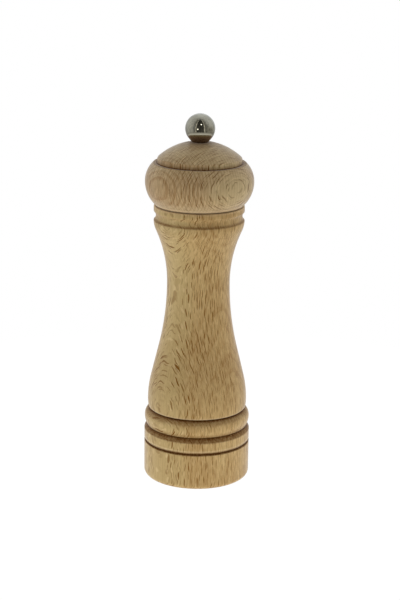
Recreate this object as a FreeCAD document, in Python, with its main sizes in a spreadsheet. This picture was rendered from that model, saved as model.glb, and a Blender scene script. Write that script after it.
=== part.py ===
"""Pepper mill of turned beech, with a steel ball knob and a steel grinding set.

The mill stands on the XY plane with its axis on Z. The head turns in the body's bore and takes the square
shaft with it. The shaft carries the toothed cone inside the fixed toothed ring. The knob is a nut on the
shaft's top: it pulls the cone up into the ring against the spring, for a finer grind.
"""
import FreeCAD, Part
import math
import os
import re

import Sketcher
from FreeCAD import Vector

# Driving dimensions in millimetres, angles in degrees
SIZES = {
    # Outside of the body, from the foot up
    "base_diameter": 60.4,
    "foot_round": 3.0,
    "line_height": 21.4,
    "line_width": 1.6,
    "line_depth": 0.8,
    "base_ring_height": 28.2,
    "ledge_height": 2.4,
    "ledge_inset": 1.6,
    "bead_lower_height": 5.0,
    "bead_inset": 0.2,
    "bead_upper_height": 4.3,
    "groove_inset": 2.3,
    "groove_width": 1.5,
    "groove_depth": 1.0,
    "taper_inset": 1.95,
    "taper_round_height": 4.0,
    "foot_curve_height": 14.0,
    "waist_curve_height": 37.4,
    "waist_diameter": 35.4,
    "neck_height": 35.8,
    "swell_height": 5.4,
    "collar_diameter": 50.9,
    "cove_height": 5.2,
    "cove_depth": 1.25,
    "land_height": 3.1,
    "body_height": 158.6,
    "edge_chamfer": 0.4,
    # Inside of the body
    "bore_diameter": 25.0,
    "recess_diameter": 47.0,
    "recess_depth": 5.0,
    # Head, measured up from its underside
    "joint_gap": 0.3,
    "head_foot_diameter": 49.6,
    "bulb_overhang": 0.2,
    "bulb_lower_height": 13.4,
    "bulb_upper_height": 10.45,
    "shoulder_diameter": 51.6,
    "shoulder_dip": 0.3,
    "dome_diameter": 47.2,
    "dome_edge_height": 2.15,
    "dome_roll_height": 1.4,
    "dome_roll_inset": 0.8,
    "dome_height": 9.6,
    "tenon_length": 14.0,
    "tenon_clearance": 0.25,
    "tenon_chamfer": 0.8,
    "head_web": 4.8,
    # Ball knob
    "knob_diameter": 16.6,
    "knob_foot_angle": 40.0,
    "knob_foot_height": 2.1,
    "knob_seat_diameter": 10.4,
    "knob_gap": 0.05,
    "knob_bore_depth": 10.5,
    # Shaft
    "shaft_width": 6.0,
    "shaft_corner": 0.4,
    "thread_diameter": 6.0,
    "thread_clearance": 0.05,
    "thread_tip_room": 1.6,
    "tip_chamfer": 0.7,
    "shoulder_room": 1.4,
    "shaft_hole_clearance": 0.35,
    "spigot_hole_clearance": 0.3,
    "pivot_diameter": 5.0,
    "pivot_clearance": 0.1,
    "pivot_reach": 0.5,
    # Drive plate in the tenon's end
    "plate_diameter": 20.0,
    "plate_thickness": 2.0,
    "plate_clearance": 0.1,
    "key_clearance": 0.15,
    "plate_screw_spread": 14.4,
    "plate_screw_head": 4.6,
    "plate_screw_shank": 2.4,
    "plate_screw_length": 10.0,
    "screw_clearance": 0.1,
    "screw_tip_height": 2.0,
    "slot_width": 0.7,
    "slot_depth": 0.6,
    # Fixed ring
    "ring_diameter": 34.0,
    "ring_height": 14.0,
    "ring_clearance": 0.1,
    "lug_width": 4.0,
    "lug_depth": 1.5,
    "lug_height": 8.0,
    "lug_root": 1.0,
    "throat_diameter": 22.4,
    "throat_chamfer": 1.0,
    "mouth_diameter": 26.8,
    "mouth_height": 6.5,
    "tooth_depth": 0.8,
    "tooth_slant": 9.0,
    "ring_teeth": 36,
    "ring_flutes": 8,
    "ring_flute_depth": 1.8,
    "ring_flute_width": 5.2,
    "ring_flute_slant": 14.0,
    # Turning cone
    "grind_gap": 0.4,
    "cone_lift": 1.8,
    "cone_nose": 1.0,
    "cone_nose_diameter": 12.4,
    "cone_teeth": 30,
    "cone_flutes": 5,
    "cone_flute_depth": 2.0,
    "cone_flute_width": 4.6,
    "cone_flute_slant": 48.0,
    "cone_fit": 0.05,
    "nut_recess_diameter": 13.2,
    "nut_recess_depth": 4.8,
    "cone_washer_diameter": 11.0,
    "cone_washer_thickness": 1.0,
    "nut_width": 8.0,
    "nut_height": 2.7,
    # Spring and its washer
    "wire_diameter": 1.0,
    "spring_diameter": 11.2,
    "spring_turns": 5,
    "spring_length": 11.0,
    "seat_gap": 0.05,
    "spring_washer_diameter": 13.0,
    "spring_washer_thickness": 1.0,
    # Bridge over the ring
    "bridge_thickness": 1.2,
    "bridge_width": 8.4,
    "bridge_span": 21.4,
    "bridge_foot_span": 30.4,
    "bridge_bend": 1.0,
    "bridge_disc_diameter": 15.0,
    "notch_clearance": 0.1,
    # Bar across the foot's recess
    "bar_length": 45.4,
    "bar_width": 11.0,
    "bar_thickness": 1.6,
    "bar_screw_spread": 40.4,
    "bar_screw_head": 5.0,
    "bar_screw_head_height": 1.8,
    "bar_screw_shank": 2.8,
    "bar_screw_length": 11.0,
}

# Levels, radii and widths that follow from the driving dimensions
DERIVED = {
    # Outside of the body
    "base_radius": "base_diameter / 2",
    "ledge_level": "base_ring_height + ledge_height",
    "bead_level": "ledge_level + bead_lower_height",
    "groove_radius": "base_radius - groove_inset",
    "groove_low": "bead_level + bead_upper_height",
    "groove_high": "groove_low + groove_width",
    "taper_radius": "base_radius - taper_inset",
    "taper_level": "groove_high + taper_round_height",
    "waist_radius": "waist_diameter / 2",
    "waist_level": "swell_level - neck_height",
    "flank_low": "taper_level + foot_curve_height",
    "flank_high": "waist_level - waist_curve_height",
    "flank_steps": "2 * (waist_level - taper_level) - foot_curve_height - waist_curve_height",
    "flank_half_slope": "(taper_radius - waist_radius) / flank_steps",
    "collar_radius": "collar_diameter / 2",
    "cove_high": "body_height - land_height",
    "cove_radius": "(cove_height^2 / 4 + cove_depth^2) / (2 * cove_depth)",
    "swell_level": "cove_high - cove_height",
    "swell_start": "swell_level - swell_height",
    "swell_start_radius": "collar_radius - (collar_radius - waist_radius) * swell_height / neck_height",
    # Head and knob
    "head_level": "body_height + joint_gap",
    "head_foot_radius": "head_foot_diameter / 2",
    "bulb_level": "head_level + bulb_lower_height",
    "shoulder_level": "bulb_level + bulb_upper_height",
    "ledge_in_level": "shoulder_level - shoulder_dip",
    "dome_level": "ledge_in_level + dome_edge_height",
    "seat_level": "dome_level + dome_height",
    "tenon_level": "head_level - tenon_length",
    "tenon_radius": "bore_diameter / 2 - tenon_clearance",
    "web_level": "seat_level - head_web",
    "knob_level": "seat_level + knob_gap",
    "knob_radius": "knob_diameter / 2",
    "knob_tangent_level": "knob_level + knob_foot_height",
    "knob_tangent_radius": "knob_radius * cos(knob_foot_angle)",
    "knob_foot_radius": "knob_tangent_radius - knob_foot_height * tan(knob_foot_angle)",
    "knob_top": "knob_tangent_level + knob_radius * (1 + sin(knob_foot_angle))",
    # Shaft and drive plate
    "shaft_half": "shaft_width / 2",
    "shaft_eased": "shaft_half - shaft_corner",
    "shaft_shoulder": "web_level - shoulder_room",
    "shaft_tip": "knob_level + knob_bore_depth - thread_tip_room",
    "shaft_hole_diameter": "2 * (sqrt(shaft_half^2 + shaft_eased^2) + shaft_hole_clearance)",
    "thread_radius": "thread_diameter / 2",
    "pivot_radius": "pivot_diameter / 2",
    "pivot_tip": "bar_level - pivot_reach",
    "key_width": "shaft_width + 2 * key_clearance",
    "plate_screw_hole": "plate_screw_shank + 2 * screw_clearance",
    "plate_screw_cone": "(plate_screw_head - plate_screw_shank) / 2",
    # Fixed ring and turning cone
    "ring_radius": "ring_diameter / 2",
    "ring_top": "recess_depth + ring_height",
    "throat_radius": "throat_diameter / 2",
    "mouth_radius": "mouth_diameter / 2",
    "mouth_top": "recess_depth + mouth_height",
    "mouth_slope": "(mouth_radius - throat_radius) / mouth_height",
    "cone_level": "recess_depth + cone_lift",
    "cone_top": "ring_top + cone_nose",
    "cone_foot_radius": "mouth_radius - mouth_slope * cone_lift - grind_gap",
    "cone_waist_radius": "throat_radius - grind_gap",
    "cone_nose_radius": "cone_nose_diameter / 2",
    "nut_ceiling": "cone_level + nut_recess_depth",
    "nut_top": "nut_ceiling - cone_washer_thickness",
    "nut_level": "nut_top - nut_height",
    "nut_corner_radius": "nut_width / sqrt(3)",
    "nut_hole": "pivot_diameter + 2 * thread_clearance",
    # Spring, bridge and bar
    "spring_low": "cone_top + seat_gap",
    "spring_radius": "(spring_diameter - wire_diameter) / 2",
    "washer_level": "spring_low + spring_length + seat_gap",
    "bridge_level": "washer_level + spring_washer_thickness + seat_gap",
    "bridge_top": "bridge_level + bridge_thickness",
    "bridge_out": "bridge_span / 2",
    "bridge_in": "bridge_out - bridge_thickness",
    "bridge_foot": "bridge_foot_span / 2",
    "bridge_foot_low": "ring_top - bridge_thickness",
    "bridge_outer_bend": "bridge_bend + bridge_thickness",
    "bar_level": "recess_depth - bar_thickness",
    "bar_round": "bar_width / 2",
    "bar_screw_hole": "bar_screw_shank + 2 * screw_clearance",
}

# How far a slanted cut runs past the faces that it breaks through
OVERRUN = "0.5"

# Share of the tooth pitch that a groove between two teeth takes at the surface
GROOVE_SHARE = "0.84"

doc = FreeCAD.newDocument("PepperMill")
sheet = doc.addObject("Spreadsheet::Sheet", "Sizes")
for row, (alias, number) in enumerate(SIZES.items(), start=1):
    sheet.set(f"A{row}", alias)
    sheet.set(f"B{row}", str(number))
    sheet.setAlias(f"B{row}", alias)
doc.recompute()


def formula(text):
    """Write a formula of size names out as an expression of the sheet's cells."""
    def written_out(match):
        name = match[0]
        if name in SIZES:
            return f"Sizes.{name}"
        if name in DERIVED:
            return f"({formula(DERIVED[name])})"
        return name
    return re.sub(r"[a-z_]+", written_out, text)


def value(text):
    """Work a formula of size names out as a plain number."""
    return float(sheet.evalExpression(formula(text)))


def turned(x, y, angle):
    """Turn a point about the origin by an angle in degrees. All three are formulas."""
    return (
        f"({x}) * cos({angle}) - ({y}) * sin({angle})",
        f"({x}) * sin({angle}) + ({y}) * cos({angle})",
    )


class Step:
    """One side of an outline, from the last corner to the corner (x, y).

    A side is straight unless it has a radius, a level that its centre lies on, or its centre on the axis.
    At a smooth corner the side runs on without a kink, and x only says where that corner is drawn first.
    """

    def __init__(self, x, y, radius=None, left=True, level=None, on_axis=False, smooth=False):
        self.x = x
        self.y = y
        self.radius = radius
        self.left = left
        self.level = level
        self.on_axis = on_axis
        self.smooth = smooth
        self.corner = Vector(value(x), value(y), 0)

    @property
    def straight(self):
        """Tell whether the side is a line."""
        return self.radius is None and self.level is None and not self.on_axis

    def centre(self, start):
        """Find the centre of the arc that comes from the corner before."""
        chord = self.corner - start
        middle = (self.corner + start) / 2
        across = Vector(-chord.y, chord.x, 0)
        if self.level is not None:
            return middle + across * ((value(self.level) - middle.y) / across.y)
        if self.on_axis:
            return middle - across * (middle.x / across.x)
        reach = math.sqrt(max(value(self.radius) ** 2 - chord.Length ** 2 / 4, 0))
        side = 1 if self.left else -1
        return middle + across * (side * reach / chord.Length)

    def draw(self, sketch, start):
        """Add the side to a sketch. Returns its number, its start point and its end point."""
        if self.straight:
            return sketch.addGeometry(Part.LineSegment(start, self.corner), False), 1, 2
        centre = self.centre(start)
        first = start - centre
        last = self.corner - centre
        ahead = first.cross(last).z > 0
        if not ahead:
            first, last = last, first
        circle = Part.Circle(centre, Vector(0, 0, 1), first.Length)
        arc = Part.ArcOfCircle(circle, math.atan2(first.y, first.x), math.atan2(last.y, last.x))
        element = sketch.addGeometry(arc, False)
        return (element, 1, 2) if ahead else (element, 2, 1)


def new_body(label):
    """Start a sub-part as an empty body of its own."""
    body = doc.addObject("PartDesign::Body", label)
    body.Label = label
    return body


def origin_feature(body, role):
    """Find one of a body's own origin planes or axes."""
    return next(feature for feature in body.Origin.OriginFeatures if feature.Role == role)


def new_sketch(body, name, level="0", plane="XY_Plane"):
    """Start a sketch on one of a body's origin planes, raised to a level along its normal."""
    sketch = body.newObject("Sketcher::SketchObject", name)
    sketch.AttachmentSupport = (origin_feature(body, plane), [""])
    sketch.MapMode = "FlatFace"
    sketch.setExpression(".AttachmentOffset.Base.z", formula(level))
    return sketch


def hold(sketch, constraint, text):
    """Add a dimension to a sketch and bind it to a formula."""
    index = sketch.addConstraint(Sketcher.Constraint(*constraint, value(text)))
    sketch.setExpression(f"Constraints[{index}]", formula(text))


def place(sketch, element, point, x=None, y=None):
    """Hold a point of a sketch at formulas, measured from the origin."""
    for kind, axis, text in (("DistanceX", -2, x), ("DistanceY", -1, y)):
        if text == "0":
            sketch.addConstraint(Sketcher.Constraint("PointOnObject", element, point, axis))
        elif text is not None:
            hold(sketch, (kind, -1, 1, element, point), text)


def add_circle(sketch, diameter, x="0", y="0"):
    """Draw a circle in a sketch."""
    circle = Part.Circle(Vector(value(x), value(y), 0), Vector(0, 0, 1), value(diameter) / 2)
    element = sketch.addGeometry(circle, False)
    place(sketch, element, 3, x, y)
    hold(sketch, ("Diameter", element), diameter)
    return sketch


def add_outline(sketch, steps):
    """Draw a closed outline in a sketch. The first side starts at the last step's corner."""
    starts = [steps[-1].corner] + [step.corner for step in steps[:-1]]
    sides = [step.draw(sketch, start) for step, start in zip(steps, starts)]
    for step, side, following in zip(steps, sides, sides[1:] + sides[:1]):
        element, _, end = side
        joint = "Tangent" if step.smooth else "Coincident"
        sketch.addConstraint(Sketcher.Constraint(joint, element, end, following[0], following[1]))
        place(sketch, element, end, None if step.smooth else step.x, step.y)
        if step.level is not None:
            place(sketch, element, 3, y=step.level)
        elif step.on_axis:
            place(sketch, element, 3, x="0")
        elif step.radius is not None:
            hold(sketch, ("Radius", element), step.radius)
    return sketch


def add_rectangle(sketch, width, depth, x="0", y="0"):
    """Draw a rectangle about the point (x, y) in a sketch."""
    low_x = f"({x}) - ({width}) / 2"
    high_x = f"({x}) + ({width}) / 2"
    low_y = f"({y}) - ({depth}) / 2"
    high_y = f"({y}) + ({depth}) / 2"
    return add_outline(sketch, [
        Step(high_x, low_y),
        Step(high_x, high_y),
        Step(low_x, high_y),
        Step(low_x, low_y),
    ])


def revolve(body, name, steps, kind="Revolution"):
    """Turn an outline in the XZ plane about the mill's axis, as a Revolution or a Groove."""
    sketch = add_outline(new_sketch(body, f"{name}_outline", plane="XZ_Plane"), steps)
    feature = body.newObject(f"PartDesign::{kind}", name)
    feature.Profile = sketch
    feature.ReferenceAxis = (sketch, ["V_Axis"])
    feature.Angle = 360
    return feature


def pad(body, name, sketch, length, both_ways=False):
    """Raise a sketch along its normal."""
    feature = body.newObject("PartDesign::Pad", name)
    feature.Profile = sketch
    feature.setExpression("Length", formula(length))
    feature.Midplane = both_ways
    return feature


def pocket(body, name, sketch, depth):
    """Cut a sketch out of a body, upwards along the sketch's normal."""
    feature = body.newObject("PartDesign::Pocket", name)
    feature.Profile = sketch
    feature.setExpression("Length", formula(depth))
    feature.Reversed = True
    return feature


def bore(body, name, level, depth, diameter, x="0"):
    """Bore a round hole upwards from a level."""
    circle = add_circle(new_sketch(body, f"{name}_circle", level), diameter, x)
    return pocket(body, name, circle, depth)


def cut_between(body, name, low_sketch, high_sketch):
    """Cut out what lies between two outlines at two levels."""
    feature = body.newObject("PartDesign::SubtractiveLoft", name)
    feature.Profile = low_sketch
    feature.Sections = [high_sketch]
    feature.Ruled = True
    return feature


def repeat(body, name, features, count):
    """Repeat features evenly about the mill's axis."""
    pattern = body.newObject("PartDesign::PolarPattern", name)
    pattern.Originals = features
    pattern.Axis = (origin_feature(body, "Z_Axis"), [""])
    pattern.Angle = 360
    pattern.setExpression("Occurrences", formula(count))
    body.Tip = pattern
    return pattern


def groove_end(body, name, level, radius, depth, width, angle="0", lean="0"):
    """Sketch one end of a V groove in a round surface, with its middle on a radius at an angle.

    The V points outwards, or inwards if its depth is below 0, and leans by an angle of its own. Its open side
    lies in the clear, as far off the surface as its point lies below it.
    """
    middle = turned(radius, "0", angle)
    steps = []
    for out, along in ((depth, "0"), (f"-({depth})", width), (f"-({depth})", f"-({width})")):
        x, y = turned(out, along, lean)
        steps.append(Step(f"{middle[0]} + {x}", f"{middle[1]} + {y}"))
    return add_outline(new_sketch(body, name, level), steps)


def cut_teeth(body, low_level, low_radius, high_level, high_radius, depth, count, slant):
    """Cut teeth into a round surface that narrows upwards, as V grooves that shrink with it."""
    gap = f"{GROOVE_SHARE} * 2 * pi / {count}"
    low_end = groove_end(body, "groove_low", low_level, low_radius, depth, f"{gap} * ({low_radius})")
    high_end = groove_end(body, "groove_high", high_level, high_radius,
                          f"({depth}) * ({high_radius}) / ({low_radius})", f"{gap} * ({high_radius})", slant)
    repeat(body, "teeth", [cut_between(body, "tooth_groove", low_end, high_end)], count)


def make_mill_body():
    """Turned body: base ring, bead, grooves, taper, waist and collar, and the bores for what it holds."""
    body = new_body("mill_body")
    revolve(body, "turned_body", [
        Step("base_radius - foot_round", "0"),
        Step("base_radius", "foot_round", radius="foot_round"),
        Step("base_radius", "base_ring_height"),
        Step("base_radius - ledge_inset", "ledge_level"),
        Step("base_radius - bead_inset", "bead_level", level="bead_level"),
        Step("groove_radius", "groove_low", level="bead_level"),
        Step("groove_radius - groove_depth", "groove_low + groove_width / 2"),
        Step("groove_radius", "groove_high"),
        Step("taper_radius", "taper_level", level="taper_level"),
        Step("taper_radius - foot_curve_height * flank_half_slope", "flank_low",
             level="taper_level", smooth=True),
        Step("waist_radius + waist_curve_height * flank_half_slope", "flank_high", smooth=True),
        Step("waist_radius", "waist_level", level="waist_level"),
        Step("swell_start_radius", "swell_start", level="waist_level"),
        Step("collar_radius", "swell_level", level="swell_level"),
        Step("collar_radius", "cove_high", radius="cove_radius", left=False),
        Step("collar_radius", "body_height - edge_chamfer"),
        Step("collar_radius - edge_chamfer", "body_height"),
        Step("0", "body_height"),
        Step("0", "0"),
    ])
    revolve(body, "base_line", [
        Step("base_radius", "line_height - line_width / 2"),
        Step("base_radius", "line_height + line_width / 2"),
        Step("base_radius - line_depth", "line_height"),
    ], kind="Groove")
    bore(body, "chamber", "0", "body_height", "bore_diameter")
    bore(body, "foot_recess", "0", "recess_depth", "recess_diameter")
    bore(body, "ring_seat", "0", "ring_top", "ring_diameter + 2 * ring_clearance")
    keyways = add_rectangle(new_sketch(body, "keyways_outline"), "lug_width + 2 * ring_clearance",
                            "ring_diameter + 2 * (lug_depth + ring_clearance)")
    pocket(body, "keyways", keyways, "recess_depth + lug_height + ring_clearance")
    pilot = bore(body, "screw_pilot", "0", "bar_level + bar_screw_length + screw_clearance",
                 "bar_screw_hole", x="bar_screw_spread / 2")
    repeat(body, "screw_pilots", [pilot], "2")
    return body


def make_head():
    """Turned head: bulb, stepped dome, seat for the knob, and the tenon that turns in the body."""
    body = new_body("head")
    revolve(body, "turned_head", [
        Step("tenon_radius - tenon_chamfer", "tenon_level"),
        Step("tenon_radius", "tenon_level + tenon_chamfer"),
        Step("tenon_radius", "head_level"),
        Step("head_foot_radius - edge_chamfer", "head_level"),
        Step("head_foot_radius", "head_level + edge_chamfer"),
        Step("base_radius + bulb_overhang", "bulb_level", level="bulb_level"),
        Step("shoulder_diameter / 2", "shoulder_level", level="bulb_level"),
        Step("dome_diameter / 2", "ledge_in_level"),
        Step("dome_diameter / 2", "dome_level"),
        Step("dome_diameter / 2 - dome_roll_inset", "dome_level + dome_roll_height", level="dome_level"),
        Step("knob_seat_diameter / 2", "seat_level", on_axis=True),
        Step("0", "seat_level"),
        Step("0", "tenon_level"),
    ])
    bore(body, "plate_recess", "tenon_level", "plate_thickness", "plate_diameter + 2 * plate_clearance")
    bore(body, "shaft_hole", "tenon_level", "web_level - tenon_level", "shaft_hole_diameter")
    bore(body, "spigot_hole", "tenon_level", "seat_level - tenon_level",
         "thread_diameter + 2 * spigot_hole_clearance")
    pilot = bore(body, "screw_pilot", "tenon_level", "plate_screw_length + screw_clearance",
                 "plate_screw_hole", x="plate_screw_spread / 2")
    repeat(body, "screw_pilots", [pilot], "2")
    return body


def make_knob_nut():
    """Ball knob with a conical foot, and a blind hole for the shaft's thread."""
    body = new_body("knob_nut")
    revolve(body, "ball", [
        Step("knob_foot_radius", "knob_level"),
        Step("knob_tangent_radius", "knob_tangent_level"),
        Step("0", "knob_top", on_axis=True),
        Step("0", "knob_level"),
    ])
    bore(body, "thread_hole", "knob_level", "knob_bore_depth", "thread_diameter + 2 * thread_clearance")
    return body


def make_shaft():
    """Square shaft with eased corners, a round top for the knob's thread and a round pivot below."""
    body = new_body("shaft")
    section = add_outline(new_sketch(body, "section", "nut_ceiling"), [
        Step("shaft_half", "-shaft_eased"),
        Step("shaft_half", "shaft_eased"),
        Step("shaft_eased", "shaft_half"),
        Step("-shaft_eased", "shaft_half"),
        Step("-shaft_half", "shaft_eased"),
        Step("-shaft_half", "-shaft_eased"),
        Step("-shaft_eased", "-shaft_half"),
        Step("shaft_eased", "-shaft_half"),
    ])
    pad(body, "square", section, "shaft_shoulder - nut_ceiling")
    revolve(body, "threaded_top", [
        Step("thread_radius", "shaft_shoulder"),
        Step("thread_radius", "shaft_tip - tip_chamfer"),
        Step("thread_radius - tip_chamfer", "shaft_tip"),
        Step("0", "shaft_tip"),
        Step("0", "shaft_shoulder"),
    ])
    revolve(body, "pivot", [
        Step("pivot_radius - tip_chamfer", "pivot_tip"),
        Step("pivot_radius", "pivot_tip + tip_chamfer"),
        Step("pivot_radius", "nut_ceiling"),
        Step("0", "nut_ceiling"),
        Step("0", "pivot_tip"),
    ])
    return body


def make_screws(label, spread, low, shoulder, shank, length, head_sides):
    """Pair of slotted wood screws with their heads down.

    The head's sides lead from its middle, at the low level, to the shank at the shoulder.
    """
    body = new_body(label)
    body.AllowCompound = True
    middle = f"{spread} / 2"
    side = f"{middle} + {shank} / 2"
    tip = f"{low} + {length}"
    steps = head_sides + [
        Step(side, shoulder),
        Step(side, f"{tip} - screw_tip_height"),
        Step(middle, tip),
        Step(middle, low),
    ]
    screw = body.newObject("PartDesign::Revolution", "screw")
    screw.Profile = add_outline(new_sketch(body, "screw_outline", plane="XZ_Plane"), steps)
    screw.ReferenceAxis = (screw.Profile[0], [f"Edge{len(steps)}"])
    screw.Angle = 360
    slot_outline = add_rectangle(new_sketch(body, "slot_outline", low), "slot_width", spread, middle)
    slot = pocket(body, "slot", slot_outline, "slot_depth")
    repeat(body, "pair", [screw, slot], "2")
    return body


def make_drive_plate():
    """Round plate with a square hole, which carries the head's turn to the shaft."""
    body = new_body("drive_plate")
    pad(body, "disc", add_circle(new_sketch(body, "disc_circle", "tenon_level"), "plate_diameter"),
        "plate_thickness")
    key = add_rectangle(new_sketch(body, "key_outline", "tenon_level"), "key_width", "key_width")
    pocket(body, "key_hole", key, "plate_thickness")
    middle = "plate_screw_spread / 2"
    hole = bore(body, "screw_hole", "tenon_level", "plate_thickness", "plate_screw_hole", x=middle)
    rim = add_circle(new_sketch(body, "countersink_rim", "tenon_level"),
                     "plate_screw_head + 2 * screw_clearance", middle)
    root = add_circle(new_sketch(body, "countersink_root", "tenon_level + plate_screw_cone"),
                      "plate_screw_hole", middle)
    countersink = cut_between(body, "countersink", rim, root)
    repeat(body, "screw_holes", [hole, countersink], "2")
    return body


def make_drive_plate_screws():
    """Two countersunk screws, flush with the drive plate."""
    head = Step("plate_screw_spread / 2 + plate_screw_head / 2", "tenon_level")
    return make_screws("drive_plate_screws", "plate_screw_spread", "tenon_level",
                       "tenon_level + plate_screw_cone", "plate_screw_shank", "plate_screw_length", [head])


def make_grinding_ring():
    """Fixed ring: flared mouth with fine slanted teeth, fluted throat, keying lugs and notches on top."""
    body = new_body("grinding_ring")
    revolve(body, "ring", [
        Step("ring_radius", "recess_depth"),
        Step("ring_radius", "ring_top"),
        Step("throat_radius + throat_chamfer", "ring_top"),
        Step("throat_radius", "ring_top - throat_chamfer"),
        Step("throat_radius", "mouth_top"),
        Step("mouth_radius", "recess_depth"),
    ])
    lug_length = "lug_depth + lug_root"
    lug_outline = add_rectangle(new_sketch(body, "lug_outline", "recess_depth"), "lug_width", lug_length,
                                y=f"ring_radius + lug_depth - ({lug_length}) / 2")
    lug = pad(body, "lug", lug_outline, "lug_height")
    repeat(body, "lugs", [lug], "2")
    notches = add_rectangle(new_sketch(body, "notches_outline", "bridge_foot_low"),
                            "bridge_foot_span + 2 * notch_clearance", "bridge_width + 2 * notch_clearance")
    pocket(body, "notches", notches, "bridge_thickness")
    flute = cut_between(
        body, "flute",
        groove_end(body, "flute_low", "mouth_top", "throat_radius", "ring_flute_depth / 2",
                   "ring_flute_width / 2"),
        groove_end(body, "flute_high", f"ring_top + {OVERRUN}", "throat_radius", "ring_flute_depth",
                   "ring_flute_width", "ring_flute_slant"))
    repeat(body, "flutes", [flute], "ring_flutes")
    cut_teeth(body, f"recess_depth - {OVERRUN}", f"mouth_radius + mouth_slope * {OVERRUN}",
              f"mouth_top + {OVERRUN}", f"throat_radius - mouth_slope * {OVERRUN}",
              "tooth_depth", "ring_teeth", "tooth_slant")
    return body


def make_grinding_cone():
    """Turning cone: spiral flutes that draw the peppercorns in, fine teeth below, and a square hole."""
    body = new_body("grinding_cone")
    revolve(body, "cone", [
        Step("cone_foot_radius", "cone_level"),
        Step("cone_waist_radius", "mouth_top"),
        Step("cone_nose_radius", "cone_top"),
        Step("0", "cone_top"),
        Step("0", "cone_level"),
    ])
    bore(body, "nut_recess", "cone_level", "nut_recess_depth", "nut_recess_diameter")
    square = add_rectangle(new_sketch(body, "square_outline", "nut_ceiling"),
                           "shaft_width + 2 * cone_fit", "shaft_width + 2 * cone_fit")
    pocket(body, "square_hole", square, "cone_top - nut_ceiling")
    flute = cut_between(
        body, "flute",
        groove_end(body, "flute_low", "mouth_top", "cone_waist_radius", "-cone_flute_depth / 2",
                   "cone_flute_width / 2"),
        groove_end(body, "flute_high", f"cone_top + {OVERRUN}", "cone_nose_radius", "-cone_flute_depth",
                   "cone_flute_width", "cone_flute_slant", "cone_flute_slant"))
    repeat(body, "flutes", [flute], "cone_flutes")
    cut_teeth(body, f"cone_level - {OVERRUN}", f"cone_foot_radius + mouth_slope * {OVERRUN}",
              f"mouth_top + {OVERRUN}", f"cone_waist_radius - mouth_slope * {OVERRUN}",
              "-tooth_depth", "cone_teeth", "-tooth_slant")
    return body


def make_cone_washer():
    """Washer between the cone and its nut."""
    body = new_body("cone_washer")
    rings = add_circle(new_sketch(body, "rings", "nut_top"), "cone_washer_diameter")
    pad(body, "washer", add_circle(rings, "nut_hole"), "cone_washer_thickness")
    return body


def make_cone_nut():
    """Hexagon nut that holds the cone on the shaft."""
    body = new_body("cone_nut")
    corners = [Step(*turned("nut_corner_radius", "0", str(angle))) for angle in range(0, 360, 60)]
    hexagon = add_outline(new_sketch(body, "hexagon", "nut_level"), corners)
    pad(body, "nut", add_circle(hexagon, "nut_hole"), "nut_height")
    return body


def make_spring():
    """Coil spring between the cone and the spring washer, with eight sides to its thin wire."""
    body = new_body("spring")
    wire = add_outline(new_sketch(body, "wire_section", plane="XZ_Plane"), [
        Step(f"spring_radius + {x}", f"spring_low + wire_diameter / 2 + {y}")
        for x, y in (turned("wire_diameter / 2", "0", str(angle)) for angle in range(0, 360, 45))
    ])
    coil = body.newObject("PartDesign::AdditiveHelix", "coil")
    coil.Profile = wire
    coil.ReferenceAxis = (wire, ["V_Axis"])
    coil.Mode = "height-turns-angle"
    coil.setExpression("Height", formula("spring_length - wire_diameter"))
    coil.setExpression("Turns", formula("spring_turns"))
    return body


def make_spring_washer():
    """Square-holed washer that turns with the shaft, above the spring."""
    body = new_body("spring_washer")
    outline = add_circle(new_sketch(body, "outline", "washer_level"), "spring_washer_diameter")
    pad(body, "washer", add_rectangle(outline, "key_width", "key_width"), "spring_washer_thickness")
    return body


def make_ring_bridge():
    """Bent strap over the ring, with its feet in the ring's notches and an eye for the shaft."""
    body = new_body("ring_bridge")
    foot_bend = "ring_top + bridge_bend"
    top_bend = "bridge_level - bridge_bend"
    strap = add_outline(new_sketch(body, "strap_outline", plane="XZ_Plane"), [
        Step("bridge_foot", "bridge_foot_low"),
        Step("bridge_foot", "ring_top"),
        Step("bridge_out + bridge_bend", "ring_top"),
        Step("bridge_out", foot_bend, radius="bridge_bend", left=False),
        Step("bridge_out", top_bend),
        Step("bridge_in - bridge_bend", "bridge_top", radius="bridge_outer_bend"),
        Step("bridge_bend - bridge_in", "bridge_top"),
        Step("-bridge_out", top_bend, radius="bridge_outer_bend"),
        Step("-bridge_out", foot_bend),
        Step("-bridge_out - bridge_bend", "ring_top", radius="bridge_bend", left=False),
        Step("-bridge_foot", "ring_top"),
        Step("-bridge_foot", "bridge_foot_low"),
        Step("-bridge_out - bridge_bend", "bridge_foot_low"),
        Step("-bridge_in", foot_bend, radius="bridge_outer_bend"),
        Step("-bridge_in", top_bend),
        Step("bridge_bend - bridge_in", "bridge_level", radius="bridge_bend", left=False),
        Step("bridge_in - bridge_bend", "bridge_level"),
        Step("bridge_in", top_bend, radius="bridge_bend", left=False),
        Step("bridge_in", foot_bend),
        Step("bridge_out + bridge_bend", "bridge_foot_low", radius="bridge_outer_bend"),
    ])
    pad(body, "strap", strap, "bridge_width", both_ways=True)
    disc = add_circle(new_sketch(body, "disc_circle", "bridge_level"), "bridge_disc_diameter")
    pad(body, "disc", disc, "bridge_thickness")
    bore(body, "eye", "bridge_level", "bridge_thickness", "shaft_hole_diameter")
    return body


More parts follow.
